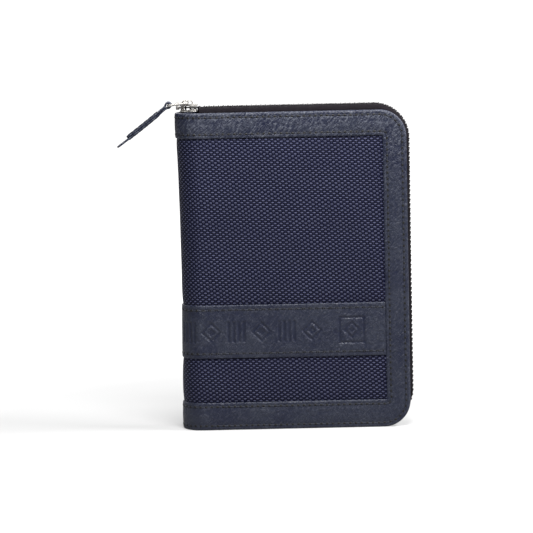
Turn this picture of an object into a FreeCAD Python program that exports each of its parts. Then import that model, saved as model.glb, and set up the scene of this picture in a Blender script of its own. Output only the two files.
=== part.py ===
import FreeCAD, Part
import math
import os
import re
import Sketcher

# Zip-around passport holder, closed and standing on its bottom edge.
# +Z is up, +X runs from the spine to the open edge, and the front cover faces -Y.
# The origin lies on the bottom edge of the back cover, midway across its width.
# The sketches use the plane halfway between the covers as y = 0, and each
# sub-part's Placement then moves it back so that the frame's origin is on the edge.

SIZES = {
    # covers
    "cover_width": 104.0,
    "cover_height": 144.0,
    "thickness": 20.0,
    "corner_radius": 12.0,
    # layers, from the outside in
    "leather": 0.6,
    "fabric": 0.6,
    "padding": 0.7,
    "board": 0.6,
    "tape": 0.5,
    "lining": 0.5,
    # leather trim
    "turned_edge": 0.8,
    "border_top": 11.5,
    "border_side": 10.7,
    "border_bottom": 12.6,
    "band_low": 32.8,
    "band_high": 57.1,
    # inside
    "lining_inset": 4.5,
    "pocket_inset": 6.0,
    "pocket_left": 8.0,
    "card_sheet": 0.5,
    "card_step": 12.0,
    "card_drop": 20.0,
    "slip_sheet": 0.6,
    "slip_drop": 16.0,
    "sleeve_sheet": 0.7,
    "sleeve_drop": 36.0,
    "pocket_corner": 3.0,
    # fits
    "layer_gap": 0.1,
    "fold_gap": 1.2,
    # zip
    "rise_top": 2.75,
    "rise_side": 1.8,
    "rise_bottom": 0.2,
    "chain_corner": 13.5,
    "tape_inner_bend": 1.65,
    "tape_edge": 1.9,
    "shoulder_radius": 2.2,
    "tooth_pitch": 2.12,
    "tooth_width": 0.76,
    "tooth_height": 1.7,
    "tooth_overlap": 0.5,
    "back_start": 0.3,
    "front_start": 1.2,
    "chain_end": 4.0,
    "stop_length": 1.6,
    # slider
    "slider_length": 8.0,
    "slider_width": 7.6,
    "slider_nose_width": 5.8,
    "slider_left": 2.5,
    "plate": 0.65,
    "chain_clearance": 0.15,
    "slot_clearance": 0.25,
    "flange": 0.8,
    "post_length": 1.6,
    "post_width": 1.8,
    "tail_width": 2.5,
    "bridge_length": 5.0,
    "bridge_width": 2.2,
    "bridge_height": 2.1,
    "bridge_wall": 0.6,
    # pull
    "wire": 1.0,
    "pull_left": 3.5,
    "link_length": 8.8,
    "link_width": 7.4,
    "link_corner": 1.0,
    "link_droop": 6.0,
    "strap_width": 5.4,
    "strap_length": 29.7,
    "strap_fold": 23.5,
    "strap_layer": 0.95,
    "strap_droop": 39.0,
    "loop_clearance": 0.2,
}

# Shorthand texts for sizes that several sub-parts share.
RIGHT = "(cover_width / 2)"
SPINE_X = "(thickness / 2 - cover_width / 2)"
LEFT_OF_ALL = "(-cover_width)"
FOLD = "(45 - fold_gap)"
RIM_MIDDLE = "((thickness + thickness - 2 * leather - 2 * fabric - 2 * padding - 2 * board) / 4)"
LAYERS = ("leather", "fabric", "padding", "board", "tape", "lining")
FRONT = -1
BACK = 1

CHAIN_TOP = "(cover_height + rise_top - tooth_height / 2)"
CHAIN_SIDE = "(cover_width / 2 + rise_side - tooth_height / 2)"
CHAIN_BOTTOM = "(rise_bottom + tooth_height / 2)"
CHAIN_BEND = "(chain_corner - tooth_height / 2)"

SLIDER_X = "(slider_left - cover_width / 2)"
SLIDER_LOW = f"({CHAIN_TOP} - tooth_height / 2 - chain_clearance - plate)"
SLIDER_HIGH = f"({CHAIN_TOP} + tooth_height / 2 + chain_clearance + plate)"
PULL_X = f"({SLIDER_X} + pull_left)"
PULL_Z = f"({SLIDER_HIGH} + (bridge_height - bridge_wall) / 2)"

doc = FreeCAD.newDocument("PassportHolder")
sizes = doc.addObject("Spreadsheet::Sheet", "sizes")
for row, (alias, value) in enumerate(SIZES.items(), start=1):
    sizes.set(f"A{row}", alias)
    sizes.set(f"B{row}", str(value))
    sizes.setAlias(f"B{row}", alias)
doc.recompute()


def bound(text):
    """Name the sheet in front of each of its aliases in an expression."""
    return re.sub(r"[a-z]+(?:_[a-z]+)*", lambda m: f"sizes.{m[0]}" if m[0] in SIZES else m[0], str(text))


def value(text):
    """The number that an expression gives now."""
    found = sizes.evalExpression(bound(text))
    return float(getattr(found, "Value", found))


def under(*layers):
    """Distance from the middle plane to the inner side of the last layer named."""
    return "(thickness / 2" + "".join(f" - {name}" for name in layers) + ")"


def vector(x, y, z=0.0):
    return FreeCAD.Vector(x, y, z)


def new_body(label):
    """A sub-part, set back so that the origin is on the back cover's bottom edge."""
    body = doc.addObject("PartDesign::Body", label)
    body.Label = label
    body.setExpression("Placement.Base.y", bound(f"-{RIM_MIDDLE}"))
    return body


def new_sketch(body, plane, lift="0"):
    """A sketch on one of the body's own origin planes, lifted along its normal."""
    sketch = body.newObject("Sketcher::SketchObject", f"{body.Name}_sketch")
    for feature in body.Origin.OriginFeatures:
        if feature.Role == plane:
            sketch.AttachmentSupport = [(feature, "")]
    sketch.MapMode = "FlatFace"
    sketch.setExpression(".AttachmentOffset.Base.z", bound(lift))
    return sketch


def pin(sketch, geometry, point, x, y):
    """Hold one point of the sketch at the place that two expressions give."""
    for kind, text in (("DistanceX", x), ("DistanceY", y)):
        number = sketch.addConstraint(
            Sketcher.Constraint(kind, -1, 1, geometry, point, value(text)))
        sketch.setExpression(f"Constraints[{number}]", bound(text))


def draw(sketch, corners, closed=True):
    """
    Draw a chain of lines and arcs through the corners.

    A corner is (x, y) where a line arrives, or (x, y, radius, cx, cy) where an
    arc of less than half a turn about (cx, cy) arrives.
    """
    placed = [vector(value(c[0]), value(c[1])) for c in corners]
    starts = list(range(-1 if closed else 0, len(corners) - 1))
    ends = []
    for start in starts:
        corner = corners[start + 1]
        a, b = placed[start], placed[start + 1]
        if len(corner) == 2:
            made = sketch.addGeometry(Part.LineSegment(a, b), False)
            ends.append((made, 1, 2))
            continue
        centre = vector(value(corner[3]), value(corner[4]))
        turned = (a - centre).cross(b - centre).z > 0
        first, last = (a, b) if turned else (b, a)
        angles = [math.atan2(p.y - centre.y, p.x - centre.x) for p in (first, last)]
        if angles[1] < angles[0]:
            angles[1] += 2 * math.pi
        circle = Part.Circle(centre, vector(0, 0, 1), value(corner[2]))
        made = sketch.addGeometry(Part.ArcOfCircle(circle, *angles), False)
        ends.append((made, 1, 2) if turned else (made, 2, 1))
        number = sketch.addConstraint(Sketcher.Constraint("Radius", made, value(corner[2])))
        sketch.setExpression(f"Constraints[{number}]", bound(corner[2]))
    for index, (made, first, last) in enumerate(ends):
        follower = (index + 1) % len(ends)
        if closed or follower:
            after = ends[follower]
            sketch.addConstraint(Sketcher.Constraint("Coincident", made, last, after[0], after[1]))
        pin(sketch, made, last, *corners[starts[index] + 1][:2])
    if not closed:
        pin(sketch, ends[0][0], ends[0][1], *corners[0][:2])


def circle(sketch, radius, x="0", y="0"):
    """Draw a circle with its centre and radius bound."""
    made = sketch.addGeometry(Part.Circle(vector(value(x), value(y)), vector(0, 0, 1), value(radius)), False)
    number = sketch.addConstraint(Sketcher.Constraint("Radius", made, value(radius)))
    sketch.setExpression(f"Constraints[{number}]", bound(radius))
    pin(sketch, made, 3, x, y)


def rectangle(x_low, x_high, y_low, y_high):
    return [(x_low, y_low), (x_high, y_low), (x_high, y_high), (x_low, y_high)]


def pad(body, sketch, length, midplane=False):
    feature = body.newObject("PartDesign::Pad", f"{body.Name}_pad")
    feature.Profile = sketch
    feature.Midplane = midplane
    feature.setExpression("Length", bound(length))
    doc.recompute()
    return feature


def pocket(body, sketch, length, midplane=False, flipped=True):
    """Cut the sketch out of the body, and make sure that it removed something."""
    before = body.Shape.Volume
    feature = body.newObject("PartDesign::Pocket", f"{body.Name}_pocket")
    feature.Profile = sketch
    feature.Midplane = midplane
    feature.Reversed = flipped
    feature.setExpression("Length", bound(length))
    doc.recompute()
    if feature.Shape.Volume >= before:
        raise RuntimeError(f"{feature.Name} removes nothing")
    return feature


def round_corners(body, base, places, radius):
    """Round the edges that run along Y through the given (x, z) places."""
    chosen = []
    for number, edge in enumerate(base.Shape.Edges, start=1):
        ends = [v.Point for v in edge.Vertexes]
        for x, z in places:
            if len(ends) == 2 and all(math.hypot(p.x - value(x), p.z - value(z)) < 1e-4 for p in ends):
                chosen.append(f"Edge{number}")
    feature = body.newObject("PartDesign::Fillet", f"{body.Name}_rounding")
    feature.Base = (base, chosen)
    feature.setExpression("Radius", bound(radius))
    doc.recompute()
    return feature


def cover_profile(side, outer, inner, right):
    """Section of a cover layer: flat, then an eighth of a turn towards the spine."""
    return [
        (right, f"{side} * {outer}"),
        (SPINE_X, f"{side} * {outer}"),
        (f"{SPINE_X} - {outer} * sin({FOLD})", f"{side} * {outer} * cos({FOLD})", outer, SPINE_X, "0"),
        (f"{SPINE_X} - {inner} * sin({FOLD})", f"{side} * {inner} * cos({FOLD})"),
        (SPINE_X, f"{side} * {inner}", inner, SPINE_X, "0"),
        (right, f"{side} * {inner}"),
    ]


def spine_profile(outer, inner):
    """Section of a spine layer: the quarter turn between the two folds."""
    return [
        (f"{SPINE_X} - {outer} * cos({FOLD})", f"-{outer} * sin({FOLD})"),
        (f"{SPINE_X} - {outer} * cos({FOLD})", f"{outer} * sin({FOLD})", outer, SPINE_X, "0"),
        (f"{SPINE_X} - {inner} * cos({FOLD})", f"{inner} * sin({FOLD})"),
        (f"{SPINE_X} - {inner} * cos({FOLD})", f"-{inner} * sin({FOLD})", inner, SPINE_X, "0"),
    ]


def upright(label, profile, low, high):
    """A layer standing from low to high."""
    body = new_body(label)
    sketch = new_sketch(body, "XY_Plane", low)
    draw(sketch, profile)
    return body, pad(body, sketch, f"{high} - {low}")


def cover_layer(label, side, outer, inner, inset):
    """A layer of a cover that wraps into the spine, rounded at the open corners."""
    right = f"({RIGHT} - {inset})"
    top = f"(cover_height - {inset})"
    body, block = upright(label, cover_profile(side, outer, inner, right), inset, top)
    round_corners(body, block, [(right, inset), (right, top)], f"corner_radius - {inset}")
    return body


def flat_layer(label, side, outer, inner, inset, left, top, corner):
    """A flat sheet between two depths, rounded at its corners."""
    right = f"({RIGHT} - {inset})"
    section = rectangle(left, right, f"{side} * {inner}", f"{side} * {outer}")
    body, block = upright(label, section, inset, top)
    round_corners(body, block, [(right, inset), (right, top)], corner)
    return body


def leather_border(label, side):
    """One leather frame per cover: top, side and bottom strips with a turned edge."""
    outer = under()
    skin = under("leather")
    rim = under("leather", "fabric", "padding", "board")
    body, block = upright(label, cover_profile(side, outer, rim, RIGHT), "0", "cover_height")
    hollow_right = f"({RIGHT} - turned_edge)"
    hollow_top = "(cover_height - turned_edge)"
    sketch = new_sketch(body, "XY_Plane", "turned_edge")
    # The hollow runs a little past the rim and past the fold, so that it opens there.
    past_rim = f"({rim} - layer_gap)"
    draw(sketch, [
        (hollow_right, f"{side} * {skin}"),
        (SPINE_X, f"{side} * {skin}"),
        (f"{SPINE_X} - {skin}", "0", skin, SPINE_X, "0"),
        (f"{SPINE_X} - {past_rim}", "0"),
        (SPINE_X, f"{side} * {past_rim}", past_rim, SPINE_X, "0"),
        (hollow_right, f"{side} * {past_rim}"),
    ])
    hollow = pocket(body, sketch, "cover_height - 2 * turned_edge")
    outside = round_corners(body, hollow, [(RIGHT, "0"), (RIGHT, "cover_height")], "corner_radius")
    inside = [(hollow_right, "turned_edge"), (hollow_right, hollow_top)]
    round_corners(body, outside, inside, "corner_radius - turned_edge")
    window = new_sketch(body, "XZ_Plane")
    draw(window, rectangle(
        LEFT_OF_ALL, f"{RIGHT} - border_side", "border_bottom", "cover_height - border_top"))
    pocket(body, window, "2 * thickness", midplane=True)
    return body


def leather_band(label, side):
    """The strip across a cover, ending at the border's inner edge."""
    profile = cover_profile(side, under(), under("leather"), f"({RIGHT} - border_side)")
    return upright(label, profile, "band_low", "band_high")[0]


def make_cover(name, side):
    """The layers that both covers have, from the outside in."""
    edge = "(turned_edge + layer_gap)"
    fabric_in = under("leather", "fabric")
    padding_in = under("leather", "fabric", "padding")
    board_in = under(*LAYERS[:4])
    cover_top = f"(cover_height - {edge})"
    corner = f"corner_radius - {edge}"
    leather_border(f"{name}_leather_border", side)
    leather_band(f"{name}_leather_band", side)
    cover_layer(f"{name}_fabric_panel", side, under("leather"), fabric_in, edge)
    flat_layer(f"{name}_padding", side, fabric_in, padding_in, edge, SPINE_X, cover_top, corner)
    flat_layer(f"{name}_board", side, padding_in, board_in, edge, SPINE_X, cover_top, corner)
    cover_layer(f"{name}_lining", side, under(*LAYERS[:5]), under(*LAYERS), "lining_inset")


def make_spine():
    """The pieces of the spine, between the two folds."""
    edge = "(turned_edge + layer_gap)"
    fabric_in = under("leather", "fabric")
    leather = spine_profile(under(), under("leather"))
    upright("spine_leather_bottom", leather, "0", "border_bottom")
    upright("spine_leather_band", leather, "band_low", "band_high")
    upright("spine_leather_top", leather, "(cover_height - border_top)", "cover_height")
    upright("spine_fabric", spine_profile(under("leather"), fabric_in), edge, f"(cover_height - {edge})")
    inner_top = "(cover_height - lining_inset)"
    upright("spine_padding", spine_profile(fabric_in, under(*LAYERS[:5])), "lining_inset", inner_top)
    upright("spine_lining", spine_profile(under(*LAYERS[:5]), under(*LAYERS)), "lining_inset", inner_top)


def make_pockets():
    """Stacked sheets: card pockets on the front cover, slip pocket and sleeve on the back."""
    face = under(*LAYERS)
    left = f"({SPINE_X} + pocket_left)"
    for index in range(4):
        outer = f"({face} - {index} * card_sheet)"
        top = f"(cover_height - card_drop - {index} * card_step)"
        flat_layer(f"card_pocket_{index + 1}", FRONT, outer, f"({outer} - card_sheet)",
                   "pocket_inset", left, top, "pocket_corner")
    flat_layer("slip_pocket", BACK, face, f"({face} - slip_sheet)",
               "pocket_inset", left, "(cover_height - slip_drop)", "pocket_corner")
    flat_layer("passport_sleeve", BACK, f"({face} - slip_sheet)", f"({face} - slip_sheet - sleeve_sheet)",
               "pocket_inset", left, "(cover_height - sleeve_drop)", "pocket_corner")


def zip_tape(label, side, start):
    """Half of the zip: flat by the teeth, then over a shoulder and down into the seam."""
    body = new_body(label)
    path = new_sketch(body, "XZ_Plane")
    bend_x = f"({CHAIN_SIDE} - {CHAIN_BEND})"
    upper_z = f"({CHAIN_TOP} - {CHAIN_BEND})"
    lower_z = f"({CHAIN_BOTTOM} + {CHAIN_BEND})"
    draw(path, [
        (start, CHAIN_TOP),
        (bend_x, CHAIN_TOP),
        (CHAIN_SIDE, upper_z, CHAIN_BEND, bend_x, upper_z),
        (CHAIN_SIDE, lower_z),
        (bend_x, CHAIN_BOTTOM, CHAIN_BEND, bend_x, lower_z),
        (f"{SPINE_X} + chain_end", CHAIN_BOTTOM),
    ], closed=False)
    section = new_sketch(body, "YZ_Plane", start)
    seam_out = under(*LAYERS[:4])
    seam_in = under(*LAYERS[:5])
    turn_y = f"({seam_in} + tape / 2 - shoulder_radius)"
    turn_z = f"({CHAIN_TOP} - shoulder_radius)"
    # The hidden edge goes as deep as it can and still turn the zip's corners.
    hidden_z = f"{CHAIN_TOP} - {CHAIN_BEND} + tape_inner_bend"
    draw(section, [
        (f"{side} * tape_edge", f"{CHAIN_TOP} - tape / 2"),
        (f"{side} * {turn_y}", f"{CHAIN_TOP} - tape / 2"),
        (f"{side} * {seam_in}", turn_z, "shoulder_radius - tape / 2", f"{side} * {turn_y}", turn_z),
        (f"{side} * {seam_in}", hidden_z),
        (f"{side} * {seam_out}", hidden_z),
        (f"{side} * {seam_out}", turn_z),
        (f"{side} * {turn_y}", f"{CHAIN_TOP} + tape / 2", "shoulder_radius + tape / 2", f"{side} * {turn_y}", turn_z),
        (f"{side} * tape_edge", f"{CHAIN_TOP} + tape / 2"),
    ])
    doc.recompute()
    pipe = body.newObject("PartDesign::AdditivePipe", f"{body.Name}_pipe")
    pipe.Profile = section
    pipe.Spine = path
    doc.recompute()
    return body


def tape_tail(body, start):
    """The end of the back tape that lies under the slider, past the cover's corner."""
    sketch = new_sketch(body, "XY_Plane", f"{CHAIN_TOP} - tape / 2")
    draw(sketch, rectangle(
        f"{SLIDER_X} - 2 * chain_clearance", start, "tape_edge", "tape_edge + tail_width"))
    pad(body, sketch, "tape")


def chain_point(run):
    """Place and heading on the chain's centre line, at a distance from the top run's left end."""
    bend = value(CHAIN_BEND)
    bend_x = value(CHAIN_SIDE) - bend
    upper_z = value(CHAIN_TOP) - bend
    lower_z = value(CHAIN_BOTTOM) + bend
    top_run = bend_x - value(SLIDER_X)
    quarter = bend * math.pi / 2
    side_run = upper_z - lower_z
    if run < top_run:
        return value(SLIDER_X) + run, value(CHAIN_TOP), 0.0
    run -= top_run
    if run < quarter:
        turn = run / bend
        return bend_x + bend * math.sin(turn), upper_z + bend * math.cos(turn), math.degrees(turn)
    run -= quarter
    if run < side_run:
        return value(CHAIN_SIDE), upper_z - run, 90.0
    run -= side_run
    if run < quarter:
        turn = run / bend
        return bend_x + bend * math.cos(turn), lower_z - bend * math.sin(turn), 90.0 + math.degrees(turn)
    run -= quarter
    return bend_x - run, value(CHAIN_BOTTOM), 180.0


def zip_teeth(label, side, first, last_x):
    """A row of flat-faced teeth, butted on the tape's edge, reaching just past the middle."""
    width = value("tooth_width")
    height = value("tooth_height")
    depth = value("tape_edge + tooth_overlap")
    near = -value("tooth_overlap") if side == BACK else -value("tape_edge")
    teeth = []
    run = first
    x, z, heading = chain_point(run)
    while heading < 180.0 or x > last_x + width:
        tooth = Part.makeBox(width, depth, height, vector(-width / 2, near, -height / 2))
        turn = FreeCAD.Rotation(vector(0, 1, 0), heading)
        tooth.Placement = FreeCAD.Placement(vector(x, 0, z), turn)
        teeth.append(tooth)
        run += value("tooth_pitch")
        x, z, heading = chain_point(run)
    feature = doc.addObject("Part::Feature", label)
    feature.Label = label
    feature.Shape = Part.makeCompound(teeth)
    feature.Placement = FreeCAD.Placement(vector(0, -value(RIM_MIDDLE), 0), FreeCAD.Rotation())
    return feature


def stop(label, x_low, x_high, y_low, y_high, middle):
    """A metal clip on the back tape that ends the slider's way."""
    section = rectangle(x_low, x_high, y_low, y_high)
    upright(label, section, f"({middle} - tooth_height / 2)", f"({middle} + tooth_height / 2)")


def make_zip():
    back_start = f"({SPINE_X} + back_start)"
    back = zip_tape("back_zip_tape", BACK, back_start)
    tape_tail(back, back_start)
    zip_tape("front_zip_tape", FRONT, f"({SPINE_X} + front_start)")
    pitch = value("tooth_pitch")
    first_back = value("post_length + 2 * chain_clearance + tooth_width / 2 + 2 * chain_clearance")
    before_front = value(f"{SPINE_X} + front_start + tooth_width / 2 - {SLIDER_X}") - first_back
    first_front = first_back + (math.ceil(before_front / pitch) + 0.5) * pitch
    last_x = value(f"{SPINE_X} + chain_end")
    zip_teeth("back_zip_teeth", BACK, first_back, last_x)
    zip_teeth("front_zip_teeth", FRONT, first_front, last_x)
    tail_end = f"({SLIDER_X} - 2 * chain_clearance)"
    stop("zip_top_stop", f"{tail_end} - stop_length", tail_end, "tape_edge", "tape_edge + tail_width", CHAIN_TOP)
    end = f"({SPINE_X} + chain_end)"
    stop("zip_bottom_stop", f"{end} - stop_length", end, "-tooth_overlap", "tape_edge + tail_width", CHAIN_BOTTOM)


def make_slider():
    """Two plates joined by a post at the nose, with flanges that hook round the tapes."""
    body = new_body("slider_body")
    plan = new_sketch(body, "XY_Plane", SLIDER_LOW)
    right = f"({SLIDER_X} + slider_length)"
    draw(plan, rectangle(SLIDER_X, right, "-slider_width / 2", "slider_width / 2"))
    pad(body, plan, f"{SLIDER_HIGH} - {SLIDER_LOW}")
    channel = new_sketch(body, "YZ_Plane", f"{SLIDER_X} - plate")
    floor = f"({SLIDER_LOW} + plate)"
    ceiling = f"({SLIDER_HIGH} - plate)"
    draw(channel, rectangle("flange - slider_width / 2", "slider_width / 2 - flange", floor, ceiling))
    pocket(body, channel, "slider_length + 2 * plate")
    slot = new_sketch(body, "YZ_Plane", f"{SLIDER_X} - plate")
    slot_low = f"({CHAIN_TOP} - tape / 2 - slot_clearance)"
    slot_high = f"({CHAIN_TOP} + tape / 2 + slot_clearance)"
    draw(slot, rectangle("-slider_width", "slider_width", slot_low, slot_high))
    pocket(body, slot, "slider_length + 2 * plate")
    for side in (FRONT, BACK):
        notch = new_sketch(body, "XY_Plane", slot_high)
        near = f"{side} * slider_nose_width / 2"
        far = f"{side} * slider_width"
        draw(notch, rectangle(f"{SLIDER_X} - plate", f"{SLIDER_X} + slider_length / 2", near, far))
        pocket(body, notch, "2 * slider_width")
    post = new_sketch(body, "XY_Plane", f"{SLIDER_LOW} + plate / 2")
    draw(post, rectangle(f"{SLIDER_X} + 2 * chain_clearance", f"{SLIDER_X} + 2 * chain_clearance + post_length",
                         "-post_width / 2", "post_width / 2"))
    pad(body, post, f"{SLIDER_HIGH} - {SLIDER_LOW} - plate")

    bridge = new_body("slider_bridge")
    arch = new_sketch(bridge, "XZ_Plane")
    x_low = f"({PULL_X} - bridge_length / 2)"
    x_high = f"({PULL_X} + bridge_length / 2)"
    z_high = f"({SLIDER_HIGH} + bridge_height)"
    draw(arch, [
        (x_low, SLIDER_HIGH),
        (f"{x_low} + bridge_wall", SLIDER_HIGH),
        (f"{x_low} + bridge_wall", f"{z_high} - bridge_wall"),
        (f"{x_high} - bridge_wall", f"{z_high} - bridge_wall"),
        (f"{x_high} - bridge_wall", SLIDER_HIGH),
        (x_high, SLIDER_HIGH),
        (x_high, z_high),
        (x_low, z_high),
    ])
    pad(bridge, arch, "bridge_width", midplane=True)


def hang(body, x, z, droop):
    """Put a piece drawn along -X from its pivot at the pivot, tipped below the level."""
    place = FreeCAD.Placement(vector(0, 0, 0), FreeCAD.Rotation(vector(0, 1, 0), -value(droop)))
    body.Placement = place
    body.setExpression("Placement.Base.x", bound(x))
    body.setExpression("Placement.Base.y", bound(f"-{RIM_MIDDLE}"))
    body.setExpression("Placement.Base.z", bound(z))


def make_pull():
    """The wire link through the bridge, and the folded leather strap on the link."""
    link = new_body("pull_link")
    loop = new_sketch(link, "XY_Plane")
    near_x = "-link_corner"
    far_x = "(link_corner - link_length)"
    half = "(link_width / 2)"
    inner = "(link_width / 2 - link_corner)"
    draw(loop, [
        ("0", "0"),
        ("0", inner),
        (near_x, half, "link_corner", near_x, inner),
        (far_x, half),
        ("-link_length", inner, "link_corner", far_x, inner),
        ("-link_length", f"-{inner}"),
        (far_x, f"-{half}", "link_corner", far_x, f"-{inner}"),
        (near_x, f"-{half}"),
        ("0", f"-{inner}", "link_corner", near_x, f"-{inner}"),
    ])
    section = new_sketch(link, "XZ_Plane")
    circle(section, "wire / 2")
    doc.recompute()
    pipe = link.newObject("PartDesign::AdditivePipe", "link_pipe")
    pipe.Profile = section
    pipe.Spine = loop
    doc.recompute()
    hang(link, PULL_X, PULL_Z, "link_droop")

    strap = new_body("pull_strap")
    side = new_sketch(strap, "XZ_Plane")
    bore = "(wire / 2 + loop_clearance)"
    eye = f"({bore} + strap_layer)"
    neck = f"(-sqrt({eye} * {eye} - strap_layer * strap_layer))"
    draw(side, [
        ("-strap_length", "0"),
        ("-strap_length", "-strap_layer"),
        (neck, "-strap_layer"),
        ("0", f"-{eye}", eye, "0", "0"),
        (eye, "0", eye, "0", "0"),
        ("0", eye, eye, "0", "0"),
        (neck, "strap_layer", eye, "0", "0"),
        ("-strap_fold", "strap_layer"),
        ("-strap_fold", "0"),
    ])
    circle(side, bore)
    pad(strap, side, "strap_width", midplane=True)
    far_x_now = f"{PULL_X} - link_length * cos(link_droop)"
    far_z_now = f"{PULL_Z} - link_length * sin(link_droop)"
    hang(strap, far_x_now, far_z_now, "strap_droop")


def sub_parts():
    return [o for o in doc.Objects if o.TypeId == "PartDesign::Body" or o.TypeId == "Part::Feature"]


def check():
    """Stop if any object failed or any sub-part has no valid shape."""
    for item in doc.Objects:
        if "Invalid" in item.State or "Error" in item.State:
            raise RuntimeError(f"{item.Label} failed: {item.State}")
    for item in sub_parts():
        if item.Shape.isNull() or not item.Shape.isValid():
            raise RuntimeError(f"{item.Label} has no valid shape")


make_cover("front", FRONT)
make_cover("back", BACK)
make_spine()
make_pockets()
make_zip()
make_slider()
make_pull()
doc.recompute()
check()
os.makedirs("parts", exist_ok=True)
for item in sub_parts():
    item.Shape.exportStep(f"parts/{item.Label}.step")
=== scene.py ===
"""Zip-around passport holder with woven padded covers, leather trim, a zip and its pull.

Lengths are in millimetres here and become metres as each mesh is made. The frame is the
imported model's: +Z up the spine, +X from the spine to the open edge, front cover facing -Y.
"""

import logging
import math
from collections.abc import Iterator, Sequence
from contextlib import contextmanager
from dataclasses import dataclass
from enum import Enum
from itertools import product
from typing import ClassVar

import bpy
import numpy as np
from mathutils import Matrix, Vector


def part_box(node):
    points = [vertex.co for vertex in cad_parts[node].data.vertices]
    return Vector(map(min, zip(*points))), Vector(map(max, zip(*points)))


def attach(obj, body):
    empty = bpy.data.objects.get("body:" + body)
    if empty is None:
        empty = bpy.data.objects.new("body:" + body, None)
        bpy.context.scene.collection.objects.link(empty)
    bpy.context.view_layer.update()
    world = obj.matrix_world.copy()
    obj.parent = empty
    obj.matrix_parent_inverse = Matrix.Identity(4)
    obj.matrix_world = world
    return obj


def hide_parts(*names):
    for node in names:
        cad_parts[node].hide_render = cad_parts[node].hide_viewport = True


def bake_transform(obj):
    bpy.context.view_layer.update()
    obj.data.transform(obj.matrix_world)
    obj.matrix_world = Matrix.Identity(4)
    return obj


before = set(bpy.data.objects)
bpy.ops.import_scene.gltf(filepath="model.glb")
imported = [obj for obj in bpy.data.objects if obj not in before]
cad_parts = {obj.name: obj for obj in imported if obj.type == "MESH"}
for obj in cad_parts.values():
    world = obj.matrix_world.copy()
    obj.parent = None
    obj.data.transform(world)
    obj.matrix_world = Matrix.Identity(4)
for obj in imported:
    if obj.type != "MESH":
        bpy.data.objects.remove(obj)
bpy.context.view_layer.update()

Array = np.ndarray
Piece = bpy.types.Object
Material = bpy.types.Material
Socket = bpy.types.NodeSocket

LOG = logging.getLogger("passport_holder")
MM = 0.001
MERGE_M = 1e-6
ARC_STEPS = 24
STEP = 0.01  # How far ahead on a track its direction is read.
TAPE_THICK = 0.5
WHITE = (1.0, 1.0, 1.0, 1.0)

# Values that the meshes keep for the materials: the flat pattern, the rest place and what is pressed in; on the
# stitches this marks the ends painted in the shade of the needle holes.
WRAP = "wrap"
PLACE = "place"
PRESS_AND_HOLE_SHADE = "press_and_hole_shade"


class Side(Enum):
    """Which cover a piece belongs to; the value is the cover's way along Y."""

    FRONT = -1
    BACK = 1

    @property
    def word(self) -> str:
        """The side's name, as the CAD nodes spell it."""
        return self.name.lower()

    @property
    def body(self) -> str:
        """The body that the cover is."""
        return f"{self.word}_cover"


class Slot(Enum):
    """The record's material slots."""

    LEATHER = "leather"
    SHELL = "shell_fabric"
    LINING = "lining"
    POCKET = "pocket"
    TAPE = "zip_tape"
    TEETH = "zip_teeth"
    METAL = "metal"


# ---------------------------------------------------------------------------- meshes


def corners(node: str) -> tuple[Array, Array]:
    """Find where a CAD node lies.

    Args:
        node: The node's name.

    Returns:
        Its lowest and highest corner, in millimetres.
    """
    low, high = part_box(node)
    return np.array(low) / MM, np.array(high) / MM


def select_only(*pieces: Piece) -> None:
    """Select these objects alone, and make the first one active.

    Args:
        pieces: The objects to select.
    """
    bpy.ops.object.select_all(action="DESELECT")
    for piece in pieces:
        piece.select_set(True)
    bpy.context.view_layer.objects.active = pieces[0]


def grid(name: str, points: Array, wrap: Array | None = None, marks: dict[str, Array] | None = None) -> Piece:
    """Add a grid and move each of its points to its place.

    Args:
        name: Name of the new object.
        points: Places in millimetres, as rows x columns x 3.
        wrap: Pattern coordinates in millimetres, as rows x columns x 2.
        marks: Values to keep on the points, each rows x columns.

    Returns:
        The new object.
    """
    rows, columns = points.shape[:2]
    bpy.ops.object.select_all(action="DESELECT")
    bpy.ops.mesh.primitive_grid_add(x_subdivisions=columns - 1, y_subdivisions=rows - 1, size=1.0)
    piece = bpy.context.object
    piece.name = piece.data.name = name
    mesh = piece.data
    start = np.empty(len(mesh.vertices) * 3)
    mesh.vertices.foreach_get("co", start)
    start = start.reshape(-1, 3)
    column = np.rint((start[:, 0] + 0.5) * (columns - 1)).astype(int)
    row = np.rint((start[:, 1] + 0.5) * (rows - 1)).astype(int)
    mesh.vertices.foreach_set("co", (points[row, column] * MM).ravel())
    while mesh.uv_layers:
        mesh.uv_layers.remove(mesh.uv_layers[0])
    if wrap is not None:
        layer = mesh.uv_layers.new(name=WRAP)
        loops = np.empty(len(mesh.loops), dtype=np.int64)
        mesh.loops.foreach_get("vertex_index", loops)
        layer.data.foreach_set("uv", wrap[row, column][loops].ravel())
    for mark, values in (marks or {}).items():
        attribute = mesh.attributes.new(mark, "FLOAT", "POINT")
        attribute.data.foreach_set("value", values[row, column].astype(np.float32))
    mesh.update()
    return piece


@contextmanager
def reshaping(piece: Piece) -> Iterator[None]:
    """Edit a whole mesh, and turn its faces outwards afterwards.

    Args:
        piece: The object whose mesh is edited.
    """
    select_only(piece)
    bpy.ops.object.mode_set(mode="EDIT")
    bpy.ops.mesh.select_all(action="SELECT")
    yield
    bpy.ops.mesh.select_all(action="SELECT")
    bpy.ops.mesh.normals_make_consistent(inside=False)
    bpy.ops.object.mode_set(mode="OBJECT")


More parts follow.
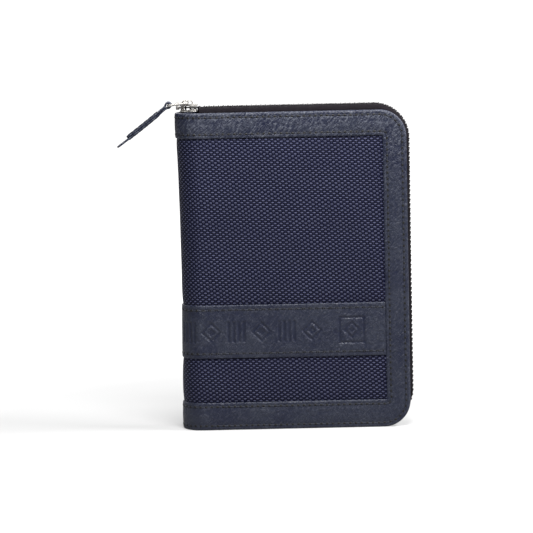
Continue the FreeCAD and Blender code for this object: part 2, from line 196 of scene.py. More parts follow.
def loft(
    name: str,
    rings: Array,
    wrap: Array | None = None,
    marks: dict[str, Array] | None = None,
    endless: bool = False,
) -> Piece:
    """Make a closed solid through a row of closed section rings.

    Args:
        name: Name of the new object.
        rings: Places in millimetres, as stations x points round x 3.
        wrap: Pattern coordinates, as stations x points round x 2.
        marks: Values to keep on the points, each stations x points round.
        endless: True if the last ring joins the first.

    Returns:
        The closed object.
    """

    def close(values: Array) -> Array:
        """Repeat the first column, and the first row of an endless loft."""
        values = np.concatenate([values, values[:, :1]], axis=1)
        return np.concatenate([values, values[:1]], axis=0) if endless else values

    piece = grid(
        name,
        close(rings),
        None if wrap is None else close(wrap),
        {mark: close(values) for mark, values in (marks or {}).items()},
    )
    with reshaping(piece):
        bpy.ops.mesh.remove_doubles(threshold=MERGE_M)
        bpy.ops.mesh.fill_holes(sides=0)
    return piece


def bevelled(piece: Piece, width: float, segments: int = 2) -> None:
    """Round a mesh's sharp edges with a bevel that is applied.

    Args:
        piece: The object to bevel.
        width: The bevel's width in millimetres.
        segments: Faces across the bevel.
    """
    select_only(piece)
    bevel = piece.modifiers.new("rounding", "BEVEL")
    bevel.width = width * MM
    bevel.segments = segments
    bevel.limit_method = "ANGLE"
    bpy.ops.object.modifier_apply(modifier=bevel.name)


def plate(name: str, outline: list[tuple[float, float]], low: float, high: float) -> Piece:
    """Raise a flat outline into a plate.

    Args:
        name: Name of the new object.
        outline: X and Y of each corner in millimetres, in order round the outline.
        low: Z of the underside.
        high: Z of the upper side.

    Returns:
        The plate, with sharp edges.
    """
    bpy.ops.object.select_all(action="DESELECT")
    bpy.ops.mesh.primitive_circle_add(vertices=len(outline), fill_type="NGON")
    piece = bpy.context.object
    piece.name = piece.data.name = name
    for vertex, (x, y) in zip(piece.data.vertices, outline):
        vertex.co = Vector((x, y, low)) * MM
    with reshaping(piece):
        bpy.ops.mesh.extrude_region_move(TRANSFORM_OT_translate={"value": (0, 0, (high - low) * MM)})
    return piece


def joined(name: str, pieces: list[Piece]) -> Piece:
    """Join objects into one.

    Args:
        name: Name of the joined object.
        pieces: The objects, which are used up.

    Returns:
        The joined object.
    """
    select_only(*pieces)
    bpy.ops.object.join()
    whole = bpy.context.object
    whole.name = whole.data.name = name
    return whole


def repeated(name: str, pattern: Piece, places: list[Matrix]) -> Piece:
    """Copy a small shape to many places and join the copies.

    Args:
        name: Name of the joined object.
        pattern: The shape at the origin, which is used up.
        places: Where each copy goes, in metres.

    Returns:
        The joined object.
    """
    copies = []
    for place in places:
        copy = pattern.copy()
        copy.data = pattern.data.copy()
        copy.data.transform(place)
        bpy.context.collection.objects.link(copy)
        copies.append(copy)
    bpy.data.objects.remove(pattern)
    return joined(name, copies)


def upright(at: Sequence[float], along: Sequence[float], out: Sequence[float]) -> Matrix:
    """Find the placement that lays a small shape on a surface.

    Args:
        at: The place in millimetres.
        along: The direction that the shape's X takes.
        out: Roughly the direction that the shape's Z takes.

    Returns:
        The placement, in metres.
    """
    x = Vector(along).normalized()
    y = Vector(out).cross(x).normalized()
    z = x.cross(y)
    turn = Matrix((x, y, z)).transposed().to_4x4()
    return Matrix.Translation(Vector(at) * MM) @ turn


def dress(piece: Piece, finish: "Finish", sharp: float = 40.0) -> None:
    """Give a piece its finish and smooth shading, and note where its points rest.

    Args:
        piece: The finished mesh.
        finish: The finish it wears.
        sharp: Edges sharper than this many degrees stay crisp.
    """
    mesh = piece.data
    rest = np.empty(len(mesh.vertices) * 3, dtype=np.float32)
    mesh.vertices.foreach_get("co", rest)
    place = mesh.attributes.new(PLACE, "FLOAT_VECTOR", "POINT")
    place.data.foreach_set("vector", rest / MM)
    mesh.materials.clear()
    mesh.materials.append(finish.material())
    select_only(piece)
    bpy.ops.object.shade_smooth_by_angle(angle=math.radians(sharp))
    LOG.info("%s: %d faces", piece.name, len(mesh.polygons))


def stand_in(piece: Piece, finish: "Finish", sharp: float, node: str, body: str) -> None:
    """Dress a piece that stands for one CAD node and moves with one body.

    Args:
        piece: The finished mesh.
        finish: The finish it wears.
        sharp: Edges sharper than this many degrees stay crisp.
        node: The CAD node.
        body: The body.
    """
    dress(piece, finish, sharp)
    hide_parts(node)
    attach(piece, body)


def stacked(*parts: Array | float) -> Array:
    """Put coordinates together along a new last axis, each spread to the shape of all."""
    return np.stack(np.broadcast_arrays(*parts), axis=-1)


def unit(vectors: Array) -> Array:
    """Scale each row to a length of 1."""
    return vectors / np.linalg.norm(vectors, axis=1, keepdims=True)


def reach_of(points: Array) -> Array:
    """Find the distance along a line of points to each of them."""
    return np.concatenate([[0.0], np.cumsum(np.linalg.norm(np.diff(points, axis=0), axis=1))])


def blunt(count: int, wide: float, thick: float) -> tuple[Array, Array]:
    """Go round a blunt oval that reaches from -1 to 1 both ways.

    Args:
        count: Points round it.
        wide: Power of the first coordinate; a smaller one makes it squarer.
        thick: Power of the second coordinate.

    Returns:
        The first and the second coordinates.
    """
    angles = (np.arange(count) + 0.5) * math.tau / count
    pairs = ((np.cos(angles), wide), (np.sin(angles), thick))
    first, second = (np.sign(values) * np.abs(values) ** power for values, power in pairs)
    return first, second


def chamfered(start: tuple[float, float], end: tuple[float, float], cut: float) -> list[tuple[float, float]]:
    """Cut the corners off a rectangle.

    Args:
        start: The corner to begin at.
        end: The opposite corner.
        cut: How much is cut off each side.

    Returns:
        The eight corners, in order.
    """
    (a, b), (c, d) = start, end
    p, q = math.copysign(cut, c - a), math.copysign(cut, d - b)
    return [(a, b + q), (a + p, b), (c - p, b), (c, b + q), (c, d - q), (c - p, d), (a + p, d), (a, d - q)]


def ease(values: Array) -> Array:
    """Turn a value into a smooth step from 0 to 1."""
    clipped = np.clip(values, 0.0, 1.0)
    return clipped * clipped * (3.0 - 2.0 * clipped)


def ripple(a: Array, b: Array, phase: float = 0.0) -> Array:
    """Make slow unevenness for a soft surface.

    Args:
        a: First coordinate in millimetres.
        b: Second coordinate in millimetres.
        phase: Shifts the pattern, so that two pieces differ.

    Returns:
        Values of about -1 to 1.
    """
    waves = (
        np.sin(0.113 * a + 0.071 * b + phase)
        + np.sin(0.047 * a - 0.163 * b + 1.9 * phase + 1.1)
        + 0.6 * np.sin(0.29 * a + 0.21 * b + 2.7 * phase + 0.4)
        + 0.5 * np.sin(-0.33 * a + 0.41 * b + 0.7 * phase + 2.2)
    )
    return waves / 3.1


# ---------------------------------------------------------------------------- finishes


Value = Socket | float | tuple
MIX_FIRST, MIX_SECOND, MIX_RESULT = 6, 7, 2  # The Mix node's colour sockets, which share their names with others.


class Graph:
    """A material whose node tree is written as formulas."""

    def __init__(self, name: str) -> None:
        """Start a material with a shader and an output.

        Args:
            name: The material's name.
        """
        self.material = bpy.data.materials.new(name)
        self.material.use_nodes = True
        self.tree = self.material.node_tree
        self.tree.nodes.clear()
        self.shader = self.add("ShaderNodeBsdfPrincipled")
        output = self.add("ShaderNodeOutputMaterial")
        self.tree.links.new(self.shader.outputs["BSDF"], output.inputs["Surface"])

    def add(self, kind: str, inputs: dict[str | int, Value | None] | None = None, **settings: object) -> bpy.types.Node:
        """Add a node.

        Args:
            kind: The node's type.
            inputs: What goes into it, by the input's name or number; None leaves one alone.
            settings: Properties to set on it.

        Returns:
            The node.
        """
        node = self.tree.nodes.new(kind)
        for key, value in settings.items():
            setattr(node, key, value)
        for key, value in (inputs or {}).items():
            if value is not None:
                self.feed(node.inputs[key], value)
        return node

    def feed(self, socket: Socket, value: Value) -> None:
        """Link a socket to an input, or set its value.

        Args:
            socket: The input.
            value: A socket to link from, or a plain value.
        """
        if isinstance(value, Socket):
            self.tree.links.new(value, socket)
        else:
            socket.default_value = value

    def split(self, vector: Value) -> bpy.types.NodeOutputs:
        """Take a vector apart into X, Y and Z."""
        return self.add("ShaderNodeSeparateXYZ", {0: vector}).outputs

    def wrap(self) -> tuple[Socket, Socket]:
        """Read the pattern coordinates, in millimetres along and across the piece."""
        along, across, _ = self.split(self.add("ShaderNodeUVMap", uv_map=WRAP).outputs["UV"])
        return along, across

    def place(self) -> Socket:
        """Read where a point rests, in millimetres."""
        return self.add("ShaderNodeAttribute", attribute_name=PLACE).outputs["Vector"]

    def mark(self, name: str) -> Socket:
        """Read a value that is kept on the points."""
        return self.add("ShaderNodeAttribute", attribute_name=name).outputs["Fac"]

    def inside(self) -> Socket:
        """Read the object coordinates, in metres."""
        return self.add("ShaderNodeTexCoord").outputs["Object"]

    def turned(self, vector: Value, angle: float, scale: tuple[float, float, float]) -> Socket:
        """Turn coordinates about Y and stretch them.

        Args:
            vector: The coordinates.
            angle: Degrees about Y.
            scale: Factor along each axis, after the turn.

        Returns:
            The new coordinates.
        """
        inputs = {
            "Vector": vector,
            "Rotation": (0.0, math.radians(angle), 0.0),
            "Scale": tuple(1.0 / factor for factor in scale),
        }
        return self.add("ShaderNodeMapping", inputs, vector_type="TEXTURE").outputs[0]

    def maths(self, operation: str, *values: Value, clamp: bool = False) -> Socket:
        """Work out a number.

        Args:
            operation: The Math node's operation.
            values: Its inputs.
            clamp: True keeps the result from 0 to 1.

        Returns:
            The result.
        """
        inputs = dict(enumerate(values))
        return self.add("ShaderNodeMath", inputs, operation=operation, use_clamp=clamp).outputs[0]

    def times(self, first: Value, second: Value, clamp: bool = False) -> Socket:
        """Multiply two numbers, and keep the result from 0 to 1 if clamp is true."""
        return self.maths("MULTIPLY", first, second, clamp=clamp)

    def plus(self, first: Value, second: Value) -> Socket:
        """Add two numbers."""
        return self.maths("ADD", first, second)

    def saw(self, value: Value) -> Socket:
        """Run from -1 to 1 over each unit of a value."""
        return self.maths("MULTIPLY_ADD", self.maths("FRACT", value), 2.0, -1.0)

    def wave(self, value: Value, period: float) -> Socket:
        """Make a sine wave of a value."""
        return self.maths("SINE", self.times(value, math.tau / period))

    def noise(self, vector: Value, scale: float, detail: float = 2.0, roughness: float = 0.5) -> Socket:
        """Make cloudy noise.

        Args:
            vector: Coordinates.
            scale: Clouds per unit.
            detail: Layers of finer noise.
            roughness: Strength of the finer layers.

        Returns:
            Values of about 0 to 1.
        """
        inputs = {"Vector": vector, "Scale": scale, "Detail": detail, "Roughness": roughness}
        return self.add("ShaderNodeTexNoise", inputs).outputs["Fac"]

    def pebbles(self, vector: Value, scale: float, edges: bool = False) -> Socket:
        """Make cells, as on grained leather.

        Args:
            vector: Coordinates.
            scale: Cells per unit.
            edges: True gives the distance to a cell's edge, and not to its middle.

        Returns:
            The distance.
        """
        feature = "DISTANCE_TO_EDGE" if edges else "SMOOTH_F1"
        node = self.add("ShaderNodeTexVoronoi", {"Vector": vector, "Scale": scale}, feature=feature)
        return node.outputs["Distance"]

    def fit(self, value: Value, low: float, high: float, to_low: float = 0.0, to_high: float = 1.0) -> Socket:
        """Stretch a range of values onto another, and cut off what is outside.

        Args:
            value: The input.
            low: Its lower end.
            high: Its upper end.
            to_low: What the lower end becomes.
            to_high: What the upper end becomes.

        Returns:
            The new value.
        """
        inputs = dict(enumerate((value, low, high, to_low, to_high)))
        return self.add("ShaderNodeMapRange", inputs).outputs[0]

    def mixed(self, share: Value, first: Value, second: Value) -> Socket:
        """Mix two colours.

        Args:
            share: How much of the second.
            first: A colour.
            second: A colour.

        Returns:
            The mixed colour.
        """
        inputs = {"Factor": share, MIX_FIRST: first, MIX_SECOND: second}
        return self.add("ShaderNodeMix", inputs, data_type="RGBA").outputs[MIX_RESULT]

    def bump(self, height: Value, depth: float, under: Value | None = None) -> Socket:
        """Turn a height into a normal.

        Args:
            height: The height, of about 0 to 1.
            depth: What a height of 1 is, in millimetres.
            under: A normal to add to.

        Returns:
            The normal.
        """
        inputs = {"Distance": depth * MM, "Height": height, "Normal": under}
        return self.add("ShaderNodeBump", inputs).outputs[0]

    def done(self, **inputs: Value) -> Material:
        """Feed the shader's inputs; a space in an input's name is written as an underscore.

        Args:
            inputs: Values or sockets by the input's name.

        Returns:
            The finished material.
        """
        for name, value in inputs.items():
            self.feed(self.shader.inputs[name.replace("_", " ")], value)
        return self.material


def paint(red: int, green: int, blue: int) -> tuple[float, float, float, float]:
    """Turn a screen colour of 0 to 255 into the linear one that a shader takes.

    Args:
        red: Red as shown.
        green: Green as shown.
        blue: Blue as shown.

    Returns:
        The linear colour.
    """

    def linear(value: int) -> float:
        """Undo the screen's curve."""
        share = value / 255.0
        return share / 12.92 if share <= 0.04045 else ((share + 0.055) / 1.055) ** 2.4

    return linear(red), linear(green), linear(blue), 1.0


@dataclass(frozen=True)
class Finish:
    """A finish that is made once and worn by many pieces."""

    name: str = "finish"

    def material(self) -> Material:
        """Find the finish's material, or make it."""
        return bpy.data.materials.get(self.name) or self.make()

    def make(self) -> Material:
        """Make the material."""
        raise NotImplementedError


@dataclass(frozen=True)
class GrainedLeather(Finish):
    """Semi-matt leather with a fine grain, cloudy dye and scuffed high spots; the scuffs grow towards the top, partly
    as wear and partly as a painted highlight of light from above.
    """

    name: str = "grained_leather"
    deep: tuple = paint(12, 20, 48)
    common: tuple = paint(38, 43, 60)
    scuffed: tuple = paint(108, 112, 124)
    pebble: float = 0.95
    scuffs: float = 0.7
    # Heights over which the scuffs grow towards the top: partly wear, partly a painted highlight of light from above.
    rubbed: tuple = (110.0, 136.0, 0.35, 1.15)

    def make(self) -> Material:
        """Make the material."""
        g = Graph(self.name)
        place = g.place()
        clouds = g.noise(place, 0.09, 3.0, 0.55)
        blotches = g.noise(place, 0.42, 3.0, 0.6)
        dye = g.mixed(g.fit(clouds, 0.36, 0.62), self.deep, self.common)
        dye = g.mixed(g.fit(blotches, 0.35, 0.75, 0.0, 0.35), dye, self.common)
        streaks = g.noise(g.turned(place, 46.0, (1.5, 1.0, 0.42)), 1.0, 3.0, 0.6)
        cells = g.pebbles(place, self.pebble)
        creases = g.fit(g.pebbles(place, self.pebble * 0.8, edges=True), 0.0, 0.16)
        # Light scuffs on the grain's high spots, which also carry a painted highlight towards the top.
        scuffs_and_top_highlight = g.times(g.fit(streaks, 0.46, 0.68), self.scuffs)
        scuffs_and_top_highlight = g.times(scuffs_and_top_highlight, g.fit(cells, 0.75, 0.2, 0.35, 1.0))
        # More scuffing towards the top: partly wear, partly painted light from above.
        scuffs_and_top_highlight = g.times(scuffs_and_top_highlight, g.fit(g.split(place)["Z"], *self.rubbed), clamp=True)
        pressed = g.mark(PRESS_AND_HOLE_SHADE)
        scuffs_and_top_highlight = g.times(scuffs_and_top_highlight, g.maths("MULTIPLY_ADD", pressed, -0.8, 1.0))
        colour = g.mixed(scuffs_and_top_highlight, dye, self.scuffed)
        colour = g.mixed(g.fit(creases, 0.0, 1.0, 0.4, 0.0), colour, self.deep)
        colour = g.mixed(g.times(pressed, 0.5), colour, self.deep)
        fine = g.noise(place, 3.6, 2.0, 0.6)
        calm = g.fit(blotches, 0.35, 0.65, 0.35, 1.0)
        calm = g.maths("SUBTRACT", calm, g.times(pressed, 0.3), clamp=True)
        normal = g.bump(g.times(streaks, calm), 0.48)
        normal = g.bump(g.fit(cells, 0.0, 0.8, 1.0, 0.0), 0.08, normal)
        normal = g.bump(creases, 0.05, normal)
        normal = g.bump(fine, 0.015, normal)
        matt = g.maths("SUBTRACT", streaks, g.times(pressed, 0.2))
        return g.done(
            Base_Color=colour,
            Roughness=g.fit(matt, 0.3, 0.7, 0.36, 0.56),
            Normal=normal,
            Specular_IOR_Level=0.5,
        )


@dataclass(frozen=True)
class BallisticNylon(Finish):
    """Coarse weave whose fat crosswise yarns stand as rows of short ovals; its colour paints shade in the gaps and a
    highlight on the crowns.
    """

    name: str = "ballistic_nylon"
    # Colours by the weave's height: painted shade in the gaps, the lower yarns, and the crown yarn colour with a
    # painted highlight.
    gap: tuple = paint(4, 6, 30)
    warp: tuple = paint(14, 17, 50)
    weft_and_highlight: tuple = paint(84, 87, 116)
    period: float = 2.79
    row: float = 0.95
    skew: float = 0.013
    lean: float = 0.09

    def make(self) -> Material:
        """Make the material."""
        g = Graph(self.name)
        along, up = g.wrap()
        wobble = g.noise(g.place(), 0.22, 2.0)
        leaning = g.times(up, self.lean)
        up = g.plus(up, g.times(along, self.skew))
        up = g.plus(up, g.times(wobble, 0.35))
        along = g.plus(along, g.times(g.noise(g.place(), 0.31, 1.0), 0.45))
        along = g.plus(along, leaning)
        line = g.maths("DIVIDE", up, self.row)
        number = g.maths("FLOOR", line)
        shift = g.times(g.maths("FLOORED_MODULO", number, 2.0), 0.5)
        across = g.saw(line)
        cell = g.plus(g.maths("DIVIDE", along, self.period), shift)
        over = self.oval(g, g.saw(cell), 0.55, across, 0.8)
        under = self.oval(g, g.saw(g.plus(cell, 0.5)), 0.34, across, 1.2)
        height = g.maths("MAXIMUM", over, g.times(under, 0.5))
        spun = g.add("ShaderNodeCombineXYZ", {0: g.times(along, 0.5), 1: g.times(up, 7.0)})
        fibres = g.noise(spun.outputs[0], 1.0, 2.0, 0.6)
        patches = g.fit(g.noise(g.place(), 0.05, 2.0), 0.3, 0.7, 0.82, 1.05)
        # The crowns' painted highlight, uneven along the fibres and in patches.
        lift = g.maths("POWER", over, 0.8)
        lift = g.times(lift, g.fit(fibres, 0.3, 0.7, 0.78, 1.1))
        lift = g.times(lift, patches, clamp=True)
        # Colour follows the weave's height: painted shade in the gaps, darker lower yarns, and a painted highlight on
        # the crowns.
        base = g.mixed(g.times(under, 0.8), self.gap, self.warp)
        colour = g.mixed(lift, base, self.weft_and_highlight)
        normal = g.bump(height, 0.38)
        normal = g.bump(fibres, 0.02, normal)
        rough = g.fit(fibres, 0.2, 0.8, 0.46, 0.62)
        return g.done(Base_Color=colour, Roughness=rough, Normal=normal, Specular_IOR_Level=0.18)

    @staticmethod
    def oval(g: Graph, a: Value, a_half: float, b: Value, b_half: float) -> Socket:
        """Make the height of an oval yarn crown.

        Args:
            g: The graph to add to.
            a: Place along the cell, of -1 to 1.
            a_half: The crown's half length.
            b: Place across the cell, of -1 to 1.
            b_half: The crown's half width.

        Returns:
            The height, of 0 to 1.
        """
        a_part = g.maths("POWER", g.maths("DIVIDE", g.maths("ABSOLUTE", a), a_half), 2.4)
        b_part = g.maths("POWER", g.maths("DIVIDE", g.maths("ABSOLUTE", b), b_half), 2.0)
        left = g.maths("SUBTRACT", 1.0, g.plus(a_part, b_part))
        return g.maths("POWER", g.maths("MAXIMUM", left, 0.0), 0.5)


@dataclass(frozen=True)
class RibbedTape(Finish):
    """Woven zip tape with fine ribs across it."""

    name: str = "ribbed_tape"
    low: tuple = paint(8, 6, 9)
    high: tuple = paint(30, 25, 32)
    rib: float = 0.62

    def make(self) -> Material:
        """Make the material."""
        g = Graph(self.name)
        along, across = g.wrap()
        ribs = g.wave(across, self.rib)
        picks = g.wave(along, self.rib * 0.8)
        height = g.fit(g.times(ribs, g.fit(picks, -1.0, 1.0, 0.6, 1.0)), -1.0, 1.0)
        fuzz = g.noise(g.place(), 2.2, 3.0, 0.6)
        colour = g.mixed(g.times(height, g.fit(fuzz, 0.3, 0.7, 0.5, 1.0)), self.low, self.high)
        normal = g.bump(fuzz, 0.05, g.bump(height, 0.1))
        rough = g.fit(fuzz, 0.3, 0.7, 0.7, 0.9)
        return g.done(Base_Color=colour, Roughness=rough, Normal=normal, Specular_IOR_Level=0.12)


@dataclass(frozen=True)
class MouldedResin(Finish):
    """Satin resin of the zip's teeth."""

    name: str = "moulded_resin"
    plain: tuple = paint(26, 23, 26)
    rubbed: tuple = paint(46, 42, 46)

    def make(self) -> Material:
        """Make the material."""
        g = Graph(self.name)
        wear = g.noise(g.place(), 0.8, 3.0, 0.6)
        return g.done(
            Base_Color=g.mixed(g.fit(wear, 0.4, 0.7), self.plain, self.rubbed),
            Roughness=g.fit(wear, 0.3, 0.7, 0.34, 0.5),
            Normal=g.bump(g.noise(g.place(), 5.0, 2.0), 0.02),
        )


@dataclass(frozen=True)
class PlatedMetal(Finish):
    """Nickel plate with hairline scratches."""

    name: str = "nickel_plate"
    bright: tuple = (0.6, 0.58, 0.55, 1.0)
    dull: tuple = (0.34, 0.33, 0.315, 1.0)

    def make(self) -> Material:
        """Make the material."""
        g = Graph(self.name)
        place = g.place()
        tarnish = g.noise(place, 0.9, 4.0, 0.6)
        hairs = g.noise(g.turned(place, 20.0, (0.6, 1.0, 14.0)), 1.0, 2.0)
        return g.done(
            Base_Color=g.mixed(g.fit(tarnish, 0.42, 0.72), self.bright, self.dull),
            Roughness=g.fit(g.plus(tarnish, hairs), 0.7, 1.3, 0.4, 0.54),
            Normal=g.bump(hairs, 0.006),
            Metallic=1.0,
        )


@dataclass(frozen=True)
class SpunThread(Finish):
    """Bonded sewing thread, painted near black at its marked ends as the shade inside the needle holes."""

    name: str = "spun_thread"
    low: tuple = paint(26, 29, 42)
    high: tuple = paint(56, 60, 74)
    # Painted shade of the needle holes, on the stitch ends.
    hole_shade: tuple = paint(2, 2, 5)

    def make(self) -> Material:
        """Make the material."""
        g = Graph(self.name)
        twist = g.noise(g.turned(g.place(), 45.0, (1.0, 1.0, 5.0)), 1.6, 2.0)
        thread = g.mixed(g.fit(twist, 0.35, 0.65), self.low, self.high)
        # The marked stitch ends are painted in the needle holes' shade.
        return g.done(
            Base_Color=g.mixed(g.mark(PRESS_AND_HOLE_SHADE), thread, self.hole_shade),
            Roughness=g.fit(twist, 0.3, 0.7, 0.5, 0.7),
            Normal=g.bump(twist, 0.04),
        )


@dataclass(frozen=True)
class LiningCloth(Finish):
    """Smooth plain-woven lining."""

    name: str = "lining_cloth"
    low: tuple = paint(30, 31, 40)
    high: tuple = paint(54, 56, 68)
    yarn: float = 0.34

    def make(self) -> Material:
        """Make the material."""
        g = Graph(self.name)
        along, up = g.wrap()
        weave = g.fit(g.times(g.wave(up, self.yarn), g.wave(along, self.yarn)), -1.0, 1.0)
        cloud = g.noise(g.place(), 0.12, 3.0)
        share = g.times(g.fit(cloud, 0.3, 0.7, 0.4, 1.0), weave)
        return g.done(
            Base_Color=g.mixed(share, self.low, self.high),
            Roughness=g.fit(cloud, 0.3, 0.7, 0.5, 0.65),
            Normal=g.bump(weave, 0.03),
            Sheen_Weight=0.2,
        )


@dataclass(frozen=True)
class LayeredCard(Finish):
    """Dark pulp card of the cover boards, of which only an edge shows at the open spine."""

    name: str = "layered_card"
    low: tuple = paint(34, 34, 40)
    high: tuple = paint(52, 52, 60)

    def make(self) -> Material:
        """Make the material."""
        g = Graph(self.name)
        pulp = g.noise(g.inside(), 900.0, 4.0, 0.6)
        return g.done(
            Base_Color=g.mixed(g.fit(pulp, 0.35, 0.65), self.low, self.high),
            Roughness=g.fit(pulp, 0.3, 0.7, 0.8, 0.95),
            Normal=g.bump(pulp, 0.02),
        )


@dataclass(frozen=True)
class PaleFloor(Finish):
    """Plain white table, lit by the studio lamps and glowing to the camera alone, less near the holder so that lamp
    shadows show there.
    """

    name: str = "pale_floor"
    grey: tuple = (0.36, 0.36, 0.36, 1.0)
    near_glow: float = 0.42
    far_glow: float = 1.05
    glow_reach: tuple = (0.14, 0.5)

    def make(self) -> Material:
        """Make the material."""
        g = Graph(self.name)
        seen = g.add("ShaderNodeLightPath").outputs["Is Camera Ray"]
        far = g.add("ShaderNodeVectorMath", {0: g.inside()}, operation="LENGTH").outputs["Value"]
        return g.done(
            Base_Color=self.grey,
            Roughness=g.fit(g.noise(g.inside(), 1.2, 1.0), 0.0, 1.0, 0.85, 0.95),
            Specular_IOR_Level=0.1,
            Emission_Color=WHITE,
            # The floor glows to the camera alone, dimmer near the holder.
            Emission_Strength=g.times(seen, g.fit(far, *self.glow_reach, self.near_glow, self.far_glow)),
        )


LEATHER = GrainedLeather()
POCKET_LEATHER = GrainedLeather(
    name="smooth_leather",
    deep=paint(34, 37, 50),
    common=paint(50, 54, 68),
    scuffed=paint(72, 76, 90),
    pebble=1.7,
    scuffs=0.25,
)
NYLON = BallisticNylon()
TAPE = RibbedTape()
RESIN = MouldedResin()
METAL = PlatedMetal()
THREAD = SpunThread()
LINING = LiningCloth()
CARD = LayeredCard()


# ---------------------------------------------------------------------------- layout


@dataclass(frozen=True)
class Track:
    """A line on a flat plan that is walked by its length."""

    points: Array

    @classmethod
    def through(cls, *marks: tuple[float, ...]) -> "Track":
        """Join marks with straight lines and quarter turns.

        Args:
            marks: Each an (a, b) point, or (a, b, centre_a, centre_b) to reach it by an arc.

        Returns:
            The track.
        """
        points = [np.array(marks[0][:2], dtype=float)]
        for mark in marks[1:]:
            end = np.array(mark[:2], dtype=float)
            if len(mark) == 4:
                centre = np.array(mark[2:], dtype=float)
                from_angle, to_angle = (math.atan2(*(p - centre)[::-1]) for p in (points[-1], end))
                sweep = (to_angle - from_angle + math.pi) % math.tau - math.pi
                radius = np.linalg.norm(end - centre)
                for share in np.linspace(0.0, 1.0, ARC_STEPS + 1)[1:-1]:
                    angle = from_angle + sweep * share
                    points.append(centre + radius * np.array([math.cos(angle), math.sin(angle)]))
            points.append(end)
        return cls(np.array(points))

    @property
    def length(self) -> float:
        """The track's whole length."""
        return float(self.reach()[-1])

    def reach(self) -> Array:
        """Find the distance along the track of each of its points."""
        return reach_of(self.points)

    def at(self, distance: Array) -> Array:
        """Find points by their distance from the start.

        Args:
            distance: Distances along the track.

        Returns:
            The points, each a row.
        """
        reach = self.reach()
        return stacked(*(np.interp(distance, reach, values) for values in self.points.T))


@dataclass(frozen=True)
class Layout:
    """Where the covers lie. A cover is laid out flat as s, from the spine's middle line towards
    the open edge, and z, and then wrapped round the spine at a depth r from the middle plane."""

    middle: float
    radius: float
    spine_x: float
    right: float
    height: float
    top_border: float
    side_border: float
    bottom_border: float
    band_low: float
    band_high: float
    corner: float = 12.0

    @classmethod
    def from_frame(cls) -> "Layout":
        """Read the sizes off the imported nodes."""
        front_low, front_high = corners("front_leather_border")
        _, back_high = corners("back_leather_border")
        spine_low, _ = corners("spine_leather_top")
        _, foot_high = corners("spine_leather_bottom")
        band_low, band_high = corners("front_leather_band")
        radius = (back_high[1] - front_low[1]) / 2
        return cls(
            middle=(front_low[1] + back_high[1]) / 2,
            radius=radius,
            spine_x=spine_low[0] + radius,
            right=front_high[0],
            height=front_high[2],
            top_border=front_high[2] - spine_low[2],
            side_border=front_high[0] - band_high[0],
            bottom_border=foot_high[2],
            band_low=band_low[2],
            band_high=band_high[2],
        )

    @property
    def turn(self) -> float:
        """Length from the spine's middle line to where the cover is flat."""
        return self.radius * math.pi / 2

    @property
    def width(self) -> float:
        """Length from the spine's middle line to the cover's open edge."""
        return self.turn + self.right - self.spine_x

    def waist(self, z: Array) -> Array:
        """How far the soft spine sinks in at each height.

        Args:
            z: Heights.

        Returns:
            The depth of the sink.
        """
        heights = (0, 8, 20, 33, 45, 60, 75, 90, 104, 116, 124, 129, 133, 144)
        depths = (0.45, 0.5, 0.6, 0.8, 1.05, 1.2, 1.25, 1.2, 1.05, 0.85, 0.6, 0.3, 0.05, 0.0)
        return np.interp(z, heights, depths)

    def place(self, s: Array, z: Array, r: Array, side: Side) -> Array:
        """Wrap flat coordinates round the spine.

        Args:
            s: Distance from the spine's middle line.
            z: Height.
            r: Depth from the middle plane.
            side: The cover.

        Returns:
            Places in millimetres, with X, Y and Z along the last axis.
        """
        turn = np.clip(s / self.radius, 0.0, math.pi / 2)
        x = self.spine_x + np.maximum(s - self.turn, 0.0) + (self.waist(z) - r) * np.cos(turn)
        return stacked(x, self.middle + side.value * r * np.sin(turn), z)

    def edge_at(self, z: Array, inset: float) -> Array:
        """Find how far a cover layer with rounded corners reaches at each height.

        Args:
            z: Heights.
            inset: How far the layer stays inside the cover's outline.

        Returns:
            The largest s at each height.
        """
        radius = self.corner - inset
        past = np.maximum(np.maximum(z - (self.height - self.corner), self.corner - z), 0.0)
        past = np.minimum(past, radius)
        return self.width - self.corner + np.sqrt(radius * radius - past * past)

    def seam(self, piece: Piece, side: Side) -> None:
        """Apply a wrapped piece's placement to its mesh.

        Args:
            piece: The piece, once its mesh is final.
            side: Its cover; not used.
        """
        side.body
        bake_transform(piece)


# ---------------------------------------------------------------------------- covers


